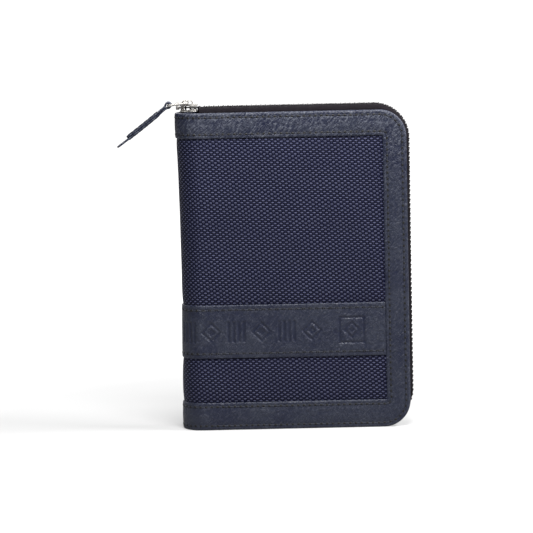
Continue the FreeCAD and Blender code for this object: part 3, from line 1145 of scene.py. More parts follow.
@dataclass
class Motif:
    """Plain shapes that are pressed into the band: lozenges, bars and one framed lozenge."""

    centre_z: float = 44.8
    half_height: float = 4.75
    pitch: float = 11.4
    first_s: float = 8.6
    count: int = 6
    frame_s: float = 83.6
    frame_half: tuple[float, float] = (6.0, 6.15)
    line: float = 1.0
    soften: float = 0.4

    def pressed(self, s: Array, z: Array) -> Array:
        """Say how far the leather is pressed at each point.

        Args:
            s: Flat coordinate from the spine's middle line.
            z: Height.

        Returns:
            Values from 0, untouched, to 1, pressed.
        """
        up = z - self.centre_z
        mask = np.zeros(np.broadcast(s, z).shape)
        for number in range(self.count):
            beside = s - (self.first_s + number * self.pitch)
            shape = self.lozenge(beside, up) if number % 2 else self.bars(beside, up)
            mask = np.maximum(mask, shape)
        return np.maximum(mask, self.framed(s - self.frame_s, up))

    def edge(self, distance: Array) -> Array:
        """Turn the distance inside a shape's edge into a soft mask."""
        return ease(distance / self.soften + 0.5)

    def ring(self, distance: Array, width: float) -> Array:
        """Keep the outermost strip of a shape."""
        return self.edge(np.minimum(distance, width - distance))

    def lozenge(self, a: Array, b: Array, size: float = 1.0) -> Array:
        """A lozenge outline with a small solid lozenge inside it."""
        half = self.half_height * size
        inside = (half - np.abs(a) - np.abs(b)) / math.sqrt(2.0)
        return np.maximum(self.ring(inside, self.line), self.edge(inside - 2.0 * self.line))

    def bars(self, a: Array, b: Array) -> Array:
        """Four upright bars."""
        pitch = 2.3
        number = np.clip(np.rint(a / pitch - 0.5), -2, 1) + 0.5
        beside = 0.62 - np.abs(a - number * pitch)
        return self.edge(np.minimum(beside, self.half_height - np.abs(b)))

    def framed(self, a: Array, b: Array) -> Array:
        """A square outline round a lozenge."""
        inside = np.minimum(self.frame_half[0] - np.abs(a), self.frame_half[1] - np.abs(b))
        return np.maximum(self.ring(inside, self.line), self.lozenge(a, b, 0.86))


@dataclass
class Cover:
    """One cover with its half of the spine: padded panel, leather trim, lining and stitching."""

    layout: Layout
    side: Side
    face: float = 10.0
    underside: float = 9.2
    fabric: float = 9.36
    swell: float = 0.5
    core: float = 8.2
    lining: tuple[float, float] = (6.88, 6.62)
    unevenness: float = 0.05
    stitch_depth: float = 9.86
    panel_inset: float = 0.9
    inner_corner: float = 0.4
    outer_line: float = 2.0
    inner_line: float = 1.9
    band_line: float = 2.2
    groove: float = 0.17
    border_pitch: float = 2.6
    band_pitch: float = 3.0
    press_and_hole_shade_depth: float = 0.24
    motif: Motif | None = None

    @property
    def word(self) -> str:
        """The cover's name, as the CAD nodes spell it."""
        return self.side.word

    @property
    def window_edge(self) -> float:
        """Where the open edge's border ends over the panel."""
        return self.layout.width - self.layout.side_border

    def build(self) -> None:
        """Make every piece of the cover."""
        self.make_panel()
        self.make_border()
        self.make_band()
        self.make_lining()
        self.make_stitching()

    def spine_nodes(self, *nodes: str) -> tuple[str, ...]:
        """Name the spine's nodes, which the back cover's pieces stand for."""
        return nodes if self.side is Side.BACK else ()

    def fabric_depth(self, s: Array, z: Array) -> Array:
        """Find how far the woven face stands from the middle plane.

        Args:
            s: Flat coordinate.
            z: Height.

        Returns:
            The depth, low under the leather and padded between its edges.
        """
        lay = self.layout
        above = np.minimum(z - lay.band_high, lay.height - lay.top_border - z)
        below = np.minimum(z - lay.bottom_border, lay.band_low - z)
        free = np.minimum(np.maximum(above, below), self.window_edge - s)
        rise = self.swell * (1.0 - np.exp(-np.maximum(free, 0.0) / 3.0))
        tucked = 0.22 * ease(0.5 - free / 0.8)
        uneven = self.unevenness * ripple(s, z, self.side.value) * ease(free / 5.0)
        return self.fabric + rise - tucked + uneven

    def layer(self, name: str, s: Array, z: Array, r: Array) -> Piece:
        """Loft a layer of cloth that is wrapped round the spine, with its pattern laid flat.

        Args:
            name: Name of the new object, after the cover's word.
            s: Flat coordinate, out along one face and back along the other.
            z: Height.
            r: Depth from the middle plane.

        Returns:
            The layer.
        """
        places = self.layout.place(s, z, r, self.side)
        return loft(f"{self.word}_{name}", places, stacked(s, z))

    def make_panel(self) -> None:
        """Make the padded woven panel, from the spine's middle line to the open edge."""
        lay, word = self.layout, self.word
        z = np.linspace(self.panel_inset, lay.height - self.panel_inset, 151)[:, None]
        reach = lay.edge_at(z, self.panel_inset)
        out = np.linspace(0.0, 1.0, 118)[None, :] * reach
        back = np.linspace(1.0, 0.0, 40)[None, :] * reach
        depth = self.fabric_depth(out, z)
        depth[:, -1] -= 0.25
        s = np.concatenate([out, back], axis=1)
        r = np.concatenate([depth, np.full(back.shape, self.core)], axis=1)
        piece = self.layer("padded_panel", s, z, r)
        dress(piece, NYLON, 50.0)
        spine = self.spine_nodes("spine_fabric", "spine_padding")
        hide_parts(f"{word}_fabric_panel", f"{word}_padding", *spine)
        lay.seam(piece, self.side)

    def border_lines(self) -> tuple[Array, Array]:
        """Walk the border's outer edge and its window edge together.

        Returns:
            The outer and the inner points, in s and z, station by station.
        """
        lay, small = self.layout, self.inner_corner
        high, wide, bend = lay.height, lay.width, lay.corner
        edge, top, foot = self.window_edge, high - lay.top_border, lay.bottom_border
        turn_s, upper, inner_s = wide - bend, high - bend, edge - small
        stretches = (
            (96, ((0, high), (turn_s, high)), ((0, top), (turn_s, top))),
            (
                26,
                ((turn_s, high), (wide, upper, turn_s, upper)),
                ((turn_s, top), (inner_s, top), (edge, top - small, inner_s, top - small), (edge, upper)),
            ),
            (116, ((wide, upper), (wide, foot + small)), ((edge, upper), (edge, foot + small))),
            (
                26,
                ((wide, foot + small), (wide, bend), (turn_s, 0, turn_s, bend)),
                ((edge, foot + small), (inner_s, foot, inner_s, foot + small), (turn_s, foot)),
            ),
            (96, ((turn_s, 0), (0, 0)), ((turn_s, foot), (0, foot))),
        )
        outer, inner = [], []
        for number, (steps, *both) in enumerate(stretches):
            share = np.linspace(0.0, 1.0, steps + 1)[1 if number else 0 :]
            for line, marks in zip((outer, inner), both):
                track = Track.through(*marks)
                line.append(track.at(share * track.length))
        return np.concatenate(outer), np.concatenate(inner)

    def border_section(self) -> Array:
        """List the border's section, from the turned edge over the face to the window.

        Returns:
            Rows of: share of the width, distance past that share, depth, and softness.
        """
        face, low = self.face, self.underside
        crease = ((0.75, -0.02), (0.45, 0.04), (0.2, 0.13))
        crease = [(-step, drop) for step, drop in crease] + [(0, self.groove)] + list(reversed(crease))
        rows = [
            (0, 0.80, 7.50, 0), (0, 0.45, 7.42, 0), (0, 0.14, 7.58, 0), (0, 0.02, 7.95, 0), (0, 0.0, 8.6, 0),
            (0, 0.0, 9.15, 0), (0, 0.07, 9.5, 0), (0, 0.24, 9.78, 0), (0, 0.52, 9.94, 0), (0, 0.95, face, 0.3),
        ]
        for share, line in ((0, self.outer_line), (1, -self.inner_line)):
            if share:
                rows += [(0.5, -1.4, face + 0.07, 1), (0.5, 0, face + 0.08, 1), (0.5, 1.4, face + 0.07, 1)]
            rows += [(share, line + step, face - drop, 0.5) for step, drop in crease]
        rows += [
            (1, -0.7, face - 0.01, 0.2), (1, -0.36, 9.93, 0), (1, -0.12, 9.78, 0), (1, 0.0, 9.55, 0),
            (1, -0.02, 9.3, 0), (1, -0.12, low, 0), (1, -1.6, low, 0), (0.5, 0, low, 0), (0, 1.4, low, 0),
            (0, 0.95, 9.0, 0), (0, 0.82, 8.3, 0),
        ]
        return np.array(rows, dtype=float)

    def make_border(self) -> None:
        """Make the U-shaped border: top, open edge and bottom in one turned-over strip."""
        outer, inner = self.border_lines()
        share, offset, depth, soft = self.border_section().T
        run = inner - outer
        length = np.linalg.norm(run, axis=1, keepdims=True)
        step = length * share + offset
        flat = outer[:, None] + (run / length)[:, None] * step[..., None]
        s, z = flat[..., 0], flat[..., 1]
        r = depth + self.unevenness * soft * ripple(s * 1.7, z * 1.7, self.side.value * 2.0)
        piece = loft(f"{self.word}_border", self.layout.place(s, z, r, self.side))
        dress(piece, LEATHER, 55.0)
        spine = self.spine_nodes("spine_leather_top", "spine_leather_bottom")
        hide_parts(f"{self.word}_leather_border", *spine)
        self.layout.seam(piece, self.side)

    def make_band(self) -> None:
        """Make the band across the cover, pressed with plain shapes if it has a motif."""
        lay = self.layout
        low, high, end = lay.band_low, lay.band_high, self.window_edge - 0.05
        step = 0.34 if self.motif else 1.1
        s = np.linspace(0.0, end, round(end / step) + 1)[:, None]
        rows = np.linspace(low + 0.5, high - 0.5, round((high - low - 1.0) / min(step, 0.5)) + 1)
        edges = [(0.02, 9.3), (0.0, 9.55), (0.1, 9.78), (0.28, 9.92)]
        z_line = np.concatenate([
            [low + 0.12], [low + e for e, _ in edges], rows,
            [high - e for e, _ in reversed(edges)], [high - 0.12], [high - 4.0, low + 4.0],
        ])
        face = 9.98 + 0.07 * np.clip(np.sin((rows - low) / (high - low) * math.pi), 0, 1)
        for line in (low + self.band_line, high - self.band_line):
            face -= self.groove * np.exp(-(((rows - line) / 0.32) ** 2))
        rise = [r for _, r in edges]
        under = self.underside
        r_line = np.concatenate([[under], rise, face, rise[::-1], [under], [under, under]])
        z = np.broadcast_to(z_line, (len(s), len(z_line)))
        s = np.broadcast_to(s, z.shape)
        first = len(edges) + 1
        top = np.zeros(len(z_line))
        top[first : first + len(rows)] = 1.0
        pressed = self.motif.pressed(s, z) * top if self.motif else np.zeros(z.shape)
        uneven = self.unevenness * ripple(s * 1.7, z * 1.7, self.side.value * 3.0)
        r = r_line - self.press_and_hole_shade_depth * pressed + top * uneven
        r -= 0.3 * ease((s - end + 2.0) / 1.6) * (r > 9.4)
        piece = loft(f"{self.word}_band", lay.place(s, z, r, self.side), marks={PRESS_AND_HOLE_SHADE: pressed})
        dress(piece, LEATHER, 55.0)
        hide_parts(f"{self.word}_leather_band", *self.spine_nodes("spine_leather_band"))
        lay.seam(piece, self.side)

    def make_lining(self) -> None:
        """Make the lining that covers the boards and the inside of the spine."""
        lay, word = self.layout, self.word
        low, high = corners(f"{word}_lining")
        inset = low[2]
        z = np.linspace(inset, lay.height - inset, 70)[:, None]
        out = np.linspace(0.0, 1.0, 60)[None, :] * lay.edge_at(z, inset)
        s = np.concatenate([out, out[:, ::-1]], axis=1)
        sag = self.unevenness * ripple(out * 1.4, z * 1.4, 4.0 + self.side.value)
        r = np.concatenate([self.lining[0] + sag, self.lining[1] + sag[:, ::-1]], axis=1)
        piece = self.layer("lining_cloth", s, z, r)
        dress(piece, LINING, 50.0)
        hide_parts(f"{word}_lining", *self.spine_nodes("spine_lining"))
        lay.seam(piece, self.side)

    def stitch_tracks(self) -> list[tuple[Track, float]]:
        """List the lines of stitching with their pitches."""
        lay, out, line = self.layout, self.outer_line, self.inner_line
        high, wide, bend, small = lay.height, lay.width, lay.corner, self.inner_corner + line
        edge, top, foot = self.window_edge + line, high - lay.top_border + line, lay.bottom_border - line
        start, turn_s, upper, inner_s = self.border_pitch / 2, wide - bend, high - bend, edge - small
        rim = (
            (start, high - out), (turn_s, high - out), (wide - out, upper, turn_s, upper),
            (wide - out, bend), (turn_s, out, turn_s, bend), (start, out),
        )
        window = (
            (start, top), (inner_s, top), (edge, top - small, inner_s, top - small),
            (edge, foot + small), (inner_s, foot, inner_s, foot + small), (start, foot),
        )
        tracks = [(Track.through(*marks), self.border_pitch) for marks in (rim, window)]
        for level in (lay.band_low + self.band_line, lay.band_high - self.band_line):
            marks = (self.band_pitch / 2, level), (self.window_edge - 0.8, level)
            tracks.append((Track.through(*marks), self.band_pitch))
        return tracks

    def make_stitching(self) -> None:
        """Sew the trim: one stitch is made and copied along every line."""
        lay, depth = self.layout, self.stitch_depth
        places = []
        for track, pitch in self.stitch_tracks():
            count = round(track.length / pitch)
            middles = (np.arange(count) + 0.5) * track.length / count
            here, ahead = track.at(middles), track.at(middles + 0.2)
            for (s, z), (next_s, next_z) in zip(here, ahead):
                at = lay.place(s, z, depth, self.side)
                along = lay.place(next_s, next_z, depth, self.side) - at
                out = lay.place(s, z, depth + 1.0, self.side) - at
                places.append(upright(at, along, out))
        piece = repeated(f"{self.word}_stitching", make_stitch(self.border_pitch, 0.22), places)
        dress(piece, THREAD)
        lay.seam(piece, self.side)


def make_stitch(pitch: float, radius: float) -> Piece:
    """Make one stitch that arches along X, with its ends marked to be painted in the shade of the needle holes.

    Args:
        pitch: Length of one stitch, from one needle puncture's middle to the next.
        radius: The thread's radius.

    Returns:
        The stitch at the origin, its ends marked for the painted shade of the holes.
    """
    stations = np.array([-0.5, -0.34, -0.28, 0.0, 0.28, 0.34, 0.5])
    wide = np.array([2.2, 2.1, 1.1, 1.2, 1.1, 2.1, 2.2]) * radius
    tall = np.array([0.8, 0.8, 0.9, 1.0, 0.9, 0.8, 0.8]) * radius
    lift = np.array([0.4, 0.4, 0.3, 0.5, 0.3, 0.4, 0.4]) * radius
    angles = np.arange(6) * math.tau / 6
    y = wide[:, None] * np.cos(angles)
    rings = stacked(stations[:, None] * pitch, y, lift[:, None] + tall[:, None] * np.sin(angles))
    # Marks the ends that the thread finish paints in the shade of the needle holes.
    hole_shade = np.broadcast_to((np.abs(stations) > 0.31)[:, None], y.shape).astype(float)
    return loft("stitch", rings, marks={PRESS_AND_HOLE_SHADE: hole_shade})


# ---------------------------------------------------------------------------- pockets


@dataclass
class Pocket:
    """A flat pocket sheet with a folded hem along its top, sewn inside a cover."""

    node: str
    side: Side
    finish: Finish
    slot: Slot
    cloth: bool = False
    corner: float = 3.0
    hem: float = 3.2
    pitch: float = 3.0

    def build(self) -> None:
        """Make the sheet and its hem stitching."""
        low, high = corners(self.node)
        towards_middle = -self.side.value
        face, back = (high[1], low[1]) if towards_middle > 0 else (low[1], high[1])
        thick = abs(face - back)
        x = np.linspace(low[0], high[0], 82)
        past = np.maximum(self.corner - np.minimum(x - low[0], high[0] - x), 0.0)
        foot = low[2] + self.corner - np.sqrt(self.corner**2 - past**2)
        top, hem = high[2], high[2] - self.hem
        levels = (
            (None, 0.12), (None, 0.9), (hem - 0.5, 0.92), (hem - 0.1, 0.86), (hem + 0.25, 1.1),
            (hem + 0.9, 1.16), (top - 0.7, 1.16), (top - 0.2, 1.02), (top, 0.6), (top - 0.15, 0.2),
            (top - 0.6, 0.06), (hem, 0.05), (hem - 20.0, 0.05),
        )
        columns = []
        for level, share in levels:
            z = foot if level is None else np.full(len(x), level)
            lift = 0.04 * ripple(x * 1.3, z * 1.3, low[2] + high[2]) if level else 0.0
            columns.append(stacked(x, back + towards_middle * share * (thick + lift), z))
        rings = np.stack(columns, axis=1)
        piece = loft(f"{self.node}_sheet", rings, rings[..., [0, 2]])
        dress(piece, self.finish, 50.0)
        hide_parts(self.node)
        sewn = self.make_stitching(x, face, hem + 0.75, towards_middle)
        if self.cloth:
            f"{self.side.word}_lining_cloth"
        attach(piece, self.side.body)

    def make_stitching(self, x: Array, face: float, z: float, towards: int) -> Piece:
        """Sew along the hem.

        Args:
            x: The sheet's stations.
            face: Y of the sheet's face.
            z: Height of the line.
            towards: The face's way along Y.

        Returns:
            The stitching.
        """
        spots = np.arange(x[0] + self.pitch, x[-1] - self.pitch / 2, self.pitch)
        places = [upright((at, face + towards * 0.03, z), (1.0, 0.0, 0.0), (0.0, towards, 0.0)) for at in spots]
        piece = repeated(f"{self.node}_stitching", make_stitch(self.pitch, 0.15), places)
        dress(piece, THREAD)
        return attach(piece, self.side.body)


# ---------------------------------------------------------------------------- zip


@dataclass
class ZipLine:
    """The zip's centre line: along the top, down the open edge and back along the bottom."""

    start_x: float
    top: float
    side: float
    bottom: float
    bend: float
    head_bend: ClassVar[float] = 16.0

    @classmethod
    def from_frame(cls) -> "ZipLine":
        """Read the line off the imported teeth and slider."""
        low, high = corners("back_zip_teeth")
        slider_low, _ = corners("slider_body")
        _, tape_high = corners("back_zip_tape")
        half = high[2] - tape_high[2] + TAPE_THICK / 2
        return cls(slider_low[0], high[2] - half, high[0] - half, low[2] + half, cls.head_bend - half)

    def at(self, run: float) -> tuple[Array, Array]:
        """Find a point of the line.

        Args:
            run: Distance from the slider's rest place.

        Returns:
            The point and the direction away from the covers, each as X and Z.
        """
        bend_x, upper, lower = self.side - self.bend, self.top - self.bend, self.bottom + self.bend
        top_run, quarter, side_run = bend_x - self.start_x, self.bend * math.pi / 2, upper - lower
        if run < top_run:
            return np.array([self.start_x + run, self.top]), np.array([0.0, 1.0])
        run -= top_run
        if run < quarter:
            out = np.array([math.sin(run / self.bend), math.cos(run / self.bend)])
            return np.array([bend_x, upper]) + self.bend * out, out
        run -= quarter
        if run < side_run:
            return np.array([self.side, upper - run]), np.array([1.0, 0.0])
        run -= side_run
        if run < quarter:
            out = np.array([math.cos(run / self.bend), -math.sin(run / self.bend)])
            return np.array([bend_x, lower]) + self.bend * out, out
        return np.array([bend_x - (run - quarter), self.bottom]), np.array([0.0, -1.0])

    def run_to_foot(self, x: float) -> float:
        """Find the distance to a place on the bottom run.

        Args:
            x: The place.

        Returns:
            Its distance from the slider's rest place.
        """
        bend_x = self.side - self.bend
        side_run = self.top - self.bottom - 2 * self.bend
        return (bend_x - self.start_x) + self.bend * math.pi + side_run + (bend_x - x)


@dataclass
class Zip:
    """The zip: two tapes, two rows of teeth and the stops at both ends."""

    layout: Layout
    line: ZipLine
    pitch: float = 2.12
    seam_depth: float = 7.25
    shoulder: float = 2.2
    hidden: float = 11.0
    foot_gap: float = 4.0
    tooth_half: float = 0.38
    stop_cut: float = 0.22

    def build(self) -> None:
        """Make every piece of the zip."""
        for side in Side:
            self.make_tape(side)
            self.make_teeth(side)
        self.make_stop("zip_top_stop")
        self.make_stop("zip_bottom_stop")

    def tape_section(self) -> Array:
        """List the tape's section as distance from the middle plane and height over the line."""
        low, _ = corners("back_zip_tape")
        near = low[1] - self.layout.middle
        turn, half = self.seam_depth - self.shoulder, TAPE_THICK / 2

        def bend(radius: float) -> list[tuple[float, float]]:
            """Turn from the tape's level down to the cover's side."""
            angles = np.radians(np.linspace(90.0, 0.0, 9))
            return [(turn + radius * math.cos(a), -self.shoulder + radius * math.sin(a)) for a in angles]

        outer, inner = self.seam_depth + half, self.seam_depth - half
        return np.array([
            (near, -0.06), (near + 0.08, half + 0.1), (near + 0.4, half + 0.12), (near + 0.7, half),
            (near + 1.4, half), (turn - 0.8, half), *bend(self.shoulder + half),
            (outer, -5.0), (outer, -self.hidden), (inner, -self.hidden), (inner, -5.0),
            *reversed(bend(self.shoulder - half)), (near + 0.7, -half), (near + 0.3, -half - 0.08),
        ])

    def make_tape(self, side: Side) -> None:
        """Make one half of the tape, from under the slider to the foot of the spine.

        Args:
            side: The cover it is sewn to.
        """
        node = f"{side.word}_zip_tape"
        low, _ = corners(node)
        section = self.tape_section()
        across, level = section.T
        first = (0.3 if side is Side.BACK else 1.2) + self.layout.spine_x - self.line.start_x
        last = self.line.run_to_foot(self.layout.spine_x + self.foot_gap)
        around = reach_of(section)
        loose = ease((across - 3.2) / 1.5) * ease(level + 3.4)
        rings, wrap = [], []
        for run in np.linspace(first, last, 361):
            point, out = self.line.at(run)
            pucker = 0.09 * math.sin(run * 0.93 + side.value) + 0.07 * math.sin(run * 2.31 + 0.8)
            height = level + (pucker + 0.06 * math.sin(run * 0.31)) * loose
            y = self.layout.middle + side.value * across
            rings.append(stacked(point[0] + out[0] * height, y, point[1] + out[1] * height))
            wrap.append(stacked(run, around))
        pieces = [loft(f"{node}_cloth", np.array(rings), np.array(wrap))]
        if side is Side.BACK:
            pieces.append(self.make_tail(low[0], first + self.line.start_x))
        stand_in(joined(f"{node}_cloth", pieces), TAPE, 50.0, node, side.body)

    def make_tail(self, x_low: float, x_high: float) -> Piece:
        """Make the narrow end of the back tape that lies under the slider.

        Args:
            x_low: Where it ends.
            x_high: Where it joins the full tape.

        Returns:
            The tail.
        """
        low, _ = corners("back_zip_tape")
        _, stop_high = corners("zip_top_stop")
        near, far, half = low[1], stop_high[1], TAPE_THICK / 2
        section = ((near, -half), (near, half), (far - 0.1, half), (far, 0.0), (far - 0.1, -half))
        stations = np.linspace(x_low, x_high + 0.4, 12)
        rings = np.array([[(x, y, self.line.top + up) for y, up in section] for x in stations])
        return loft("tape_tail", rings, rings[..., :2])

    def make_tooth(self) -> Piece:
        """Make one tooth: a head that reaches past the middle, a neck, and a clamp on the tape."""
        stations = (
            (-0.26, 0.2, 0.5), (-0.05, 0.35, 0.8), (0.85, self.tooth_half, 0.85),
            (1.35, 0.27, 0.74), (1.85, 0.35, 0.85), (2.75, 0.3, 0.8),
        )
        rings = [
            [(a, reach, b) for a, b in chamfered((half_x, half_z), (-half_x, -half_z), 0.13)]
            for reach, half_x, half_z in stations
        ]
        return loft("tooth", np.array(rings))

    def make_teeth(self, side: Side) -> None:
        """Set a row of teeth along one tape.

        Args:
            side: The cover it belongs to.
        """
        node = f"{side.word}_zip_teeth"
        low, _ = corners(node)
        first = low[0] + self.tooth_half - self.line.start_x
        last = self.line.run_to_foot(self.layout.spine_x + self.foot_gap + 2 * self.tooth_half)
        places = []
        for run in np.arange(first, last, self.pitch):
            point, out = self.line.at(run)
            at = (point[0], self.layout.middle, point[1])
            heading = (out[1] * side.value, 0.0, -out[0] * side.value)
            places.append(upright(at, heading, (out[0], 0.0, out[1])))
        piece = repeated(f"{node}_row", self.make_tooth(), places)
        stand_in(piece, RESIN, 40.0, node, side.body)

    def make_stop(self, node: str) -> None:
        """Make a metal stop that is crimped round the tape's edge.

        Args:
            node: The CAD node that it stands for.
        """
        low, high = corners(node)
        piece = plate(f"{node}_clip", chamfered(low[:2], high[:2], self.stop_cut), low[2], high[2])
        bevelled(piece, 0.16)
        select_only(piece)
        bpy.ops.object.mode_set(mode="EDIT")
        bpy.ops.mesh.select_all(action="DESELECT")
        bpy.ops.object.mode_set(mode="OBJECT")
        for face in piece.data.polygons:
            face.select = abs(face.normal.z) > 0.95 and face.area > 1.0 * MM * MM
        bpy.ops.object.mode_set(mode="EDIT")
        bpy.ops.mesh.inset(thickness=0.3 * MM, depth=-0.14 * MM)
        bpy.ops.object.mode_set(mode="OBJECT")
        stand_in(piece, METAL, 30.0, node, Side.BACK.body)


@dataclass
class Slider:
    """The slider: two shaped plates, their flanges, the post between them and the bridge."""

    chain_height: float
    plate: float = 0.65
    flange: float = 0.8
    flange_sunk: float = 0.3
    nose_step: float = 0.9
    wall: float = 0.6
    arch_bend: float = 1.0
    arch_sunk: float = 0.25
    slot: float = 0.5

    def build(self) -> None:
        """Make the slider's body and its bridge."""
        self.make_shell()
        self.make_bridge()

    def make_shell(self) -> None:
        """Make the body: the plates are narrow at the nose and full width over the tapes."""
        low, high = corners("slider_body")
        middle = (low[1] + high[1]) / 2
        half = (high[1] - low[1]) / 2
        nose = half - self.nose_step
        edge = (
            (0.0, 1.3), (0.55, nose - 0.35), (1.3, nose), (3.5, nose),
            (4.5, half - 0.1), (5.2, half), (7.3, half), (8.0, half - 0.75),
        )
        outline = [(low[0] + a, middle + b) for a, b in edge]
        outline += [(low[0] + a, middle - b) for a, b in reversed(edge)]
        pieces = []
        for bottom, top in ((low[2], low[2] + self.plate), (high[2] - self.plate, high[2])):
            wing = plate("wing", outline, bottom, top)
            bevelled(wing, 0.2, 3)
            pieces.append(wing)
        slot_low, slot_high = self.chain_height - self.slot, self.chain_height + self.slot
        sunk_low, sunk_high = low[2] + self.flange_sunk, high[2] - self.flange_sunk
        for side in (-1, 1):
            wall_out, wall_in = middle + side * (half - 0.05), middle + side * (half - self.flange)
            lip = [
                (low[0] + 4.8, wall_out), (high[0] - 0.5, wall_out),
                (high[0] - 0.3, wall_in), (low[0] + 4.4, wall_in),
            ]
            for bottom, top in ((sunk_low, slot_low), (slot_high, sunk_high)):
                flange = plate("flange", lip, bottom, top)
                bevelled(flange, 0.12)
                pieces.append(flange)
        post = [(0.3, 0.0), (0.75, 0.75), (1.3, 0.9), (1.9, 0.45), (1.9, -0.45), (1.3, -0.9), (0.75, -0.75)]
        pieces.append(plate("post", [(low[0] + a, middle + b) for a, b in post], sunk_low, sunk_high))
        stand_in(joined("slider_shell", pieces), METAL, 32.0, "slider_body", "slider")

    def make_bridge(self) -> None:
        """Make the bridge: a strap of metal that arches over the plate and holds the link."""
        low, high = corners("slider_bridge")
        middle = (low[1] + high[1]) / 2
        half, foot, bend = self.wall / 2, low[2] - self.arch_sunk, self.arch_bend
        left, right, top = low[0] + half, high[0] - half, high[2] - half
        track = Track.through(
            (left, foot), (left, top - bend), (left + bend, top, left + bend, top - bend),
            (right - bend, top), (right, top - bend, right - bend, top - bend), (right, foot),
        )
        reach = np.linspace(0.0, track.length, 48)
        centre = track.at(reach)
        ahead, behind = np.minimum(reach + STEP, track.length), np.maximum(reach - STEP, 0.0)
        along = unit(track.at(ahead) - track.at(behind))
        across, thick = blunt(16, 0.45, 0.6)
        rings = stacked(
            centre[:, :1] - along[:, 1:] * thick * half,
            middle + across * (high[1] - low[1]) / 2,
            centre[:, 1:] + along[:, :1] * thick * half,
        )
        stand_in(loft("slider_arch", rings), METAL, 45.0, "slider_bridge", "slider")


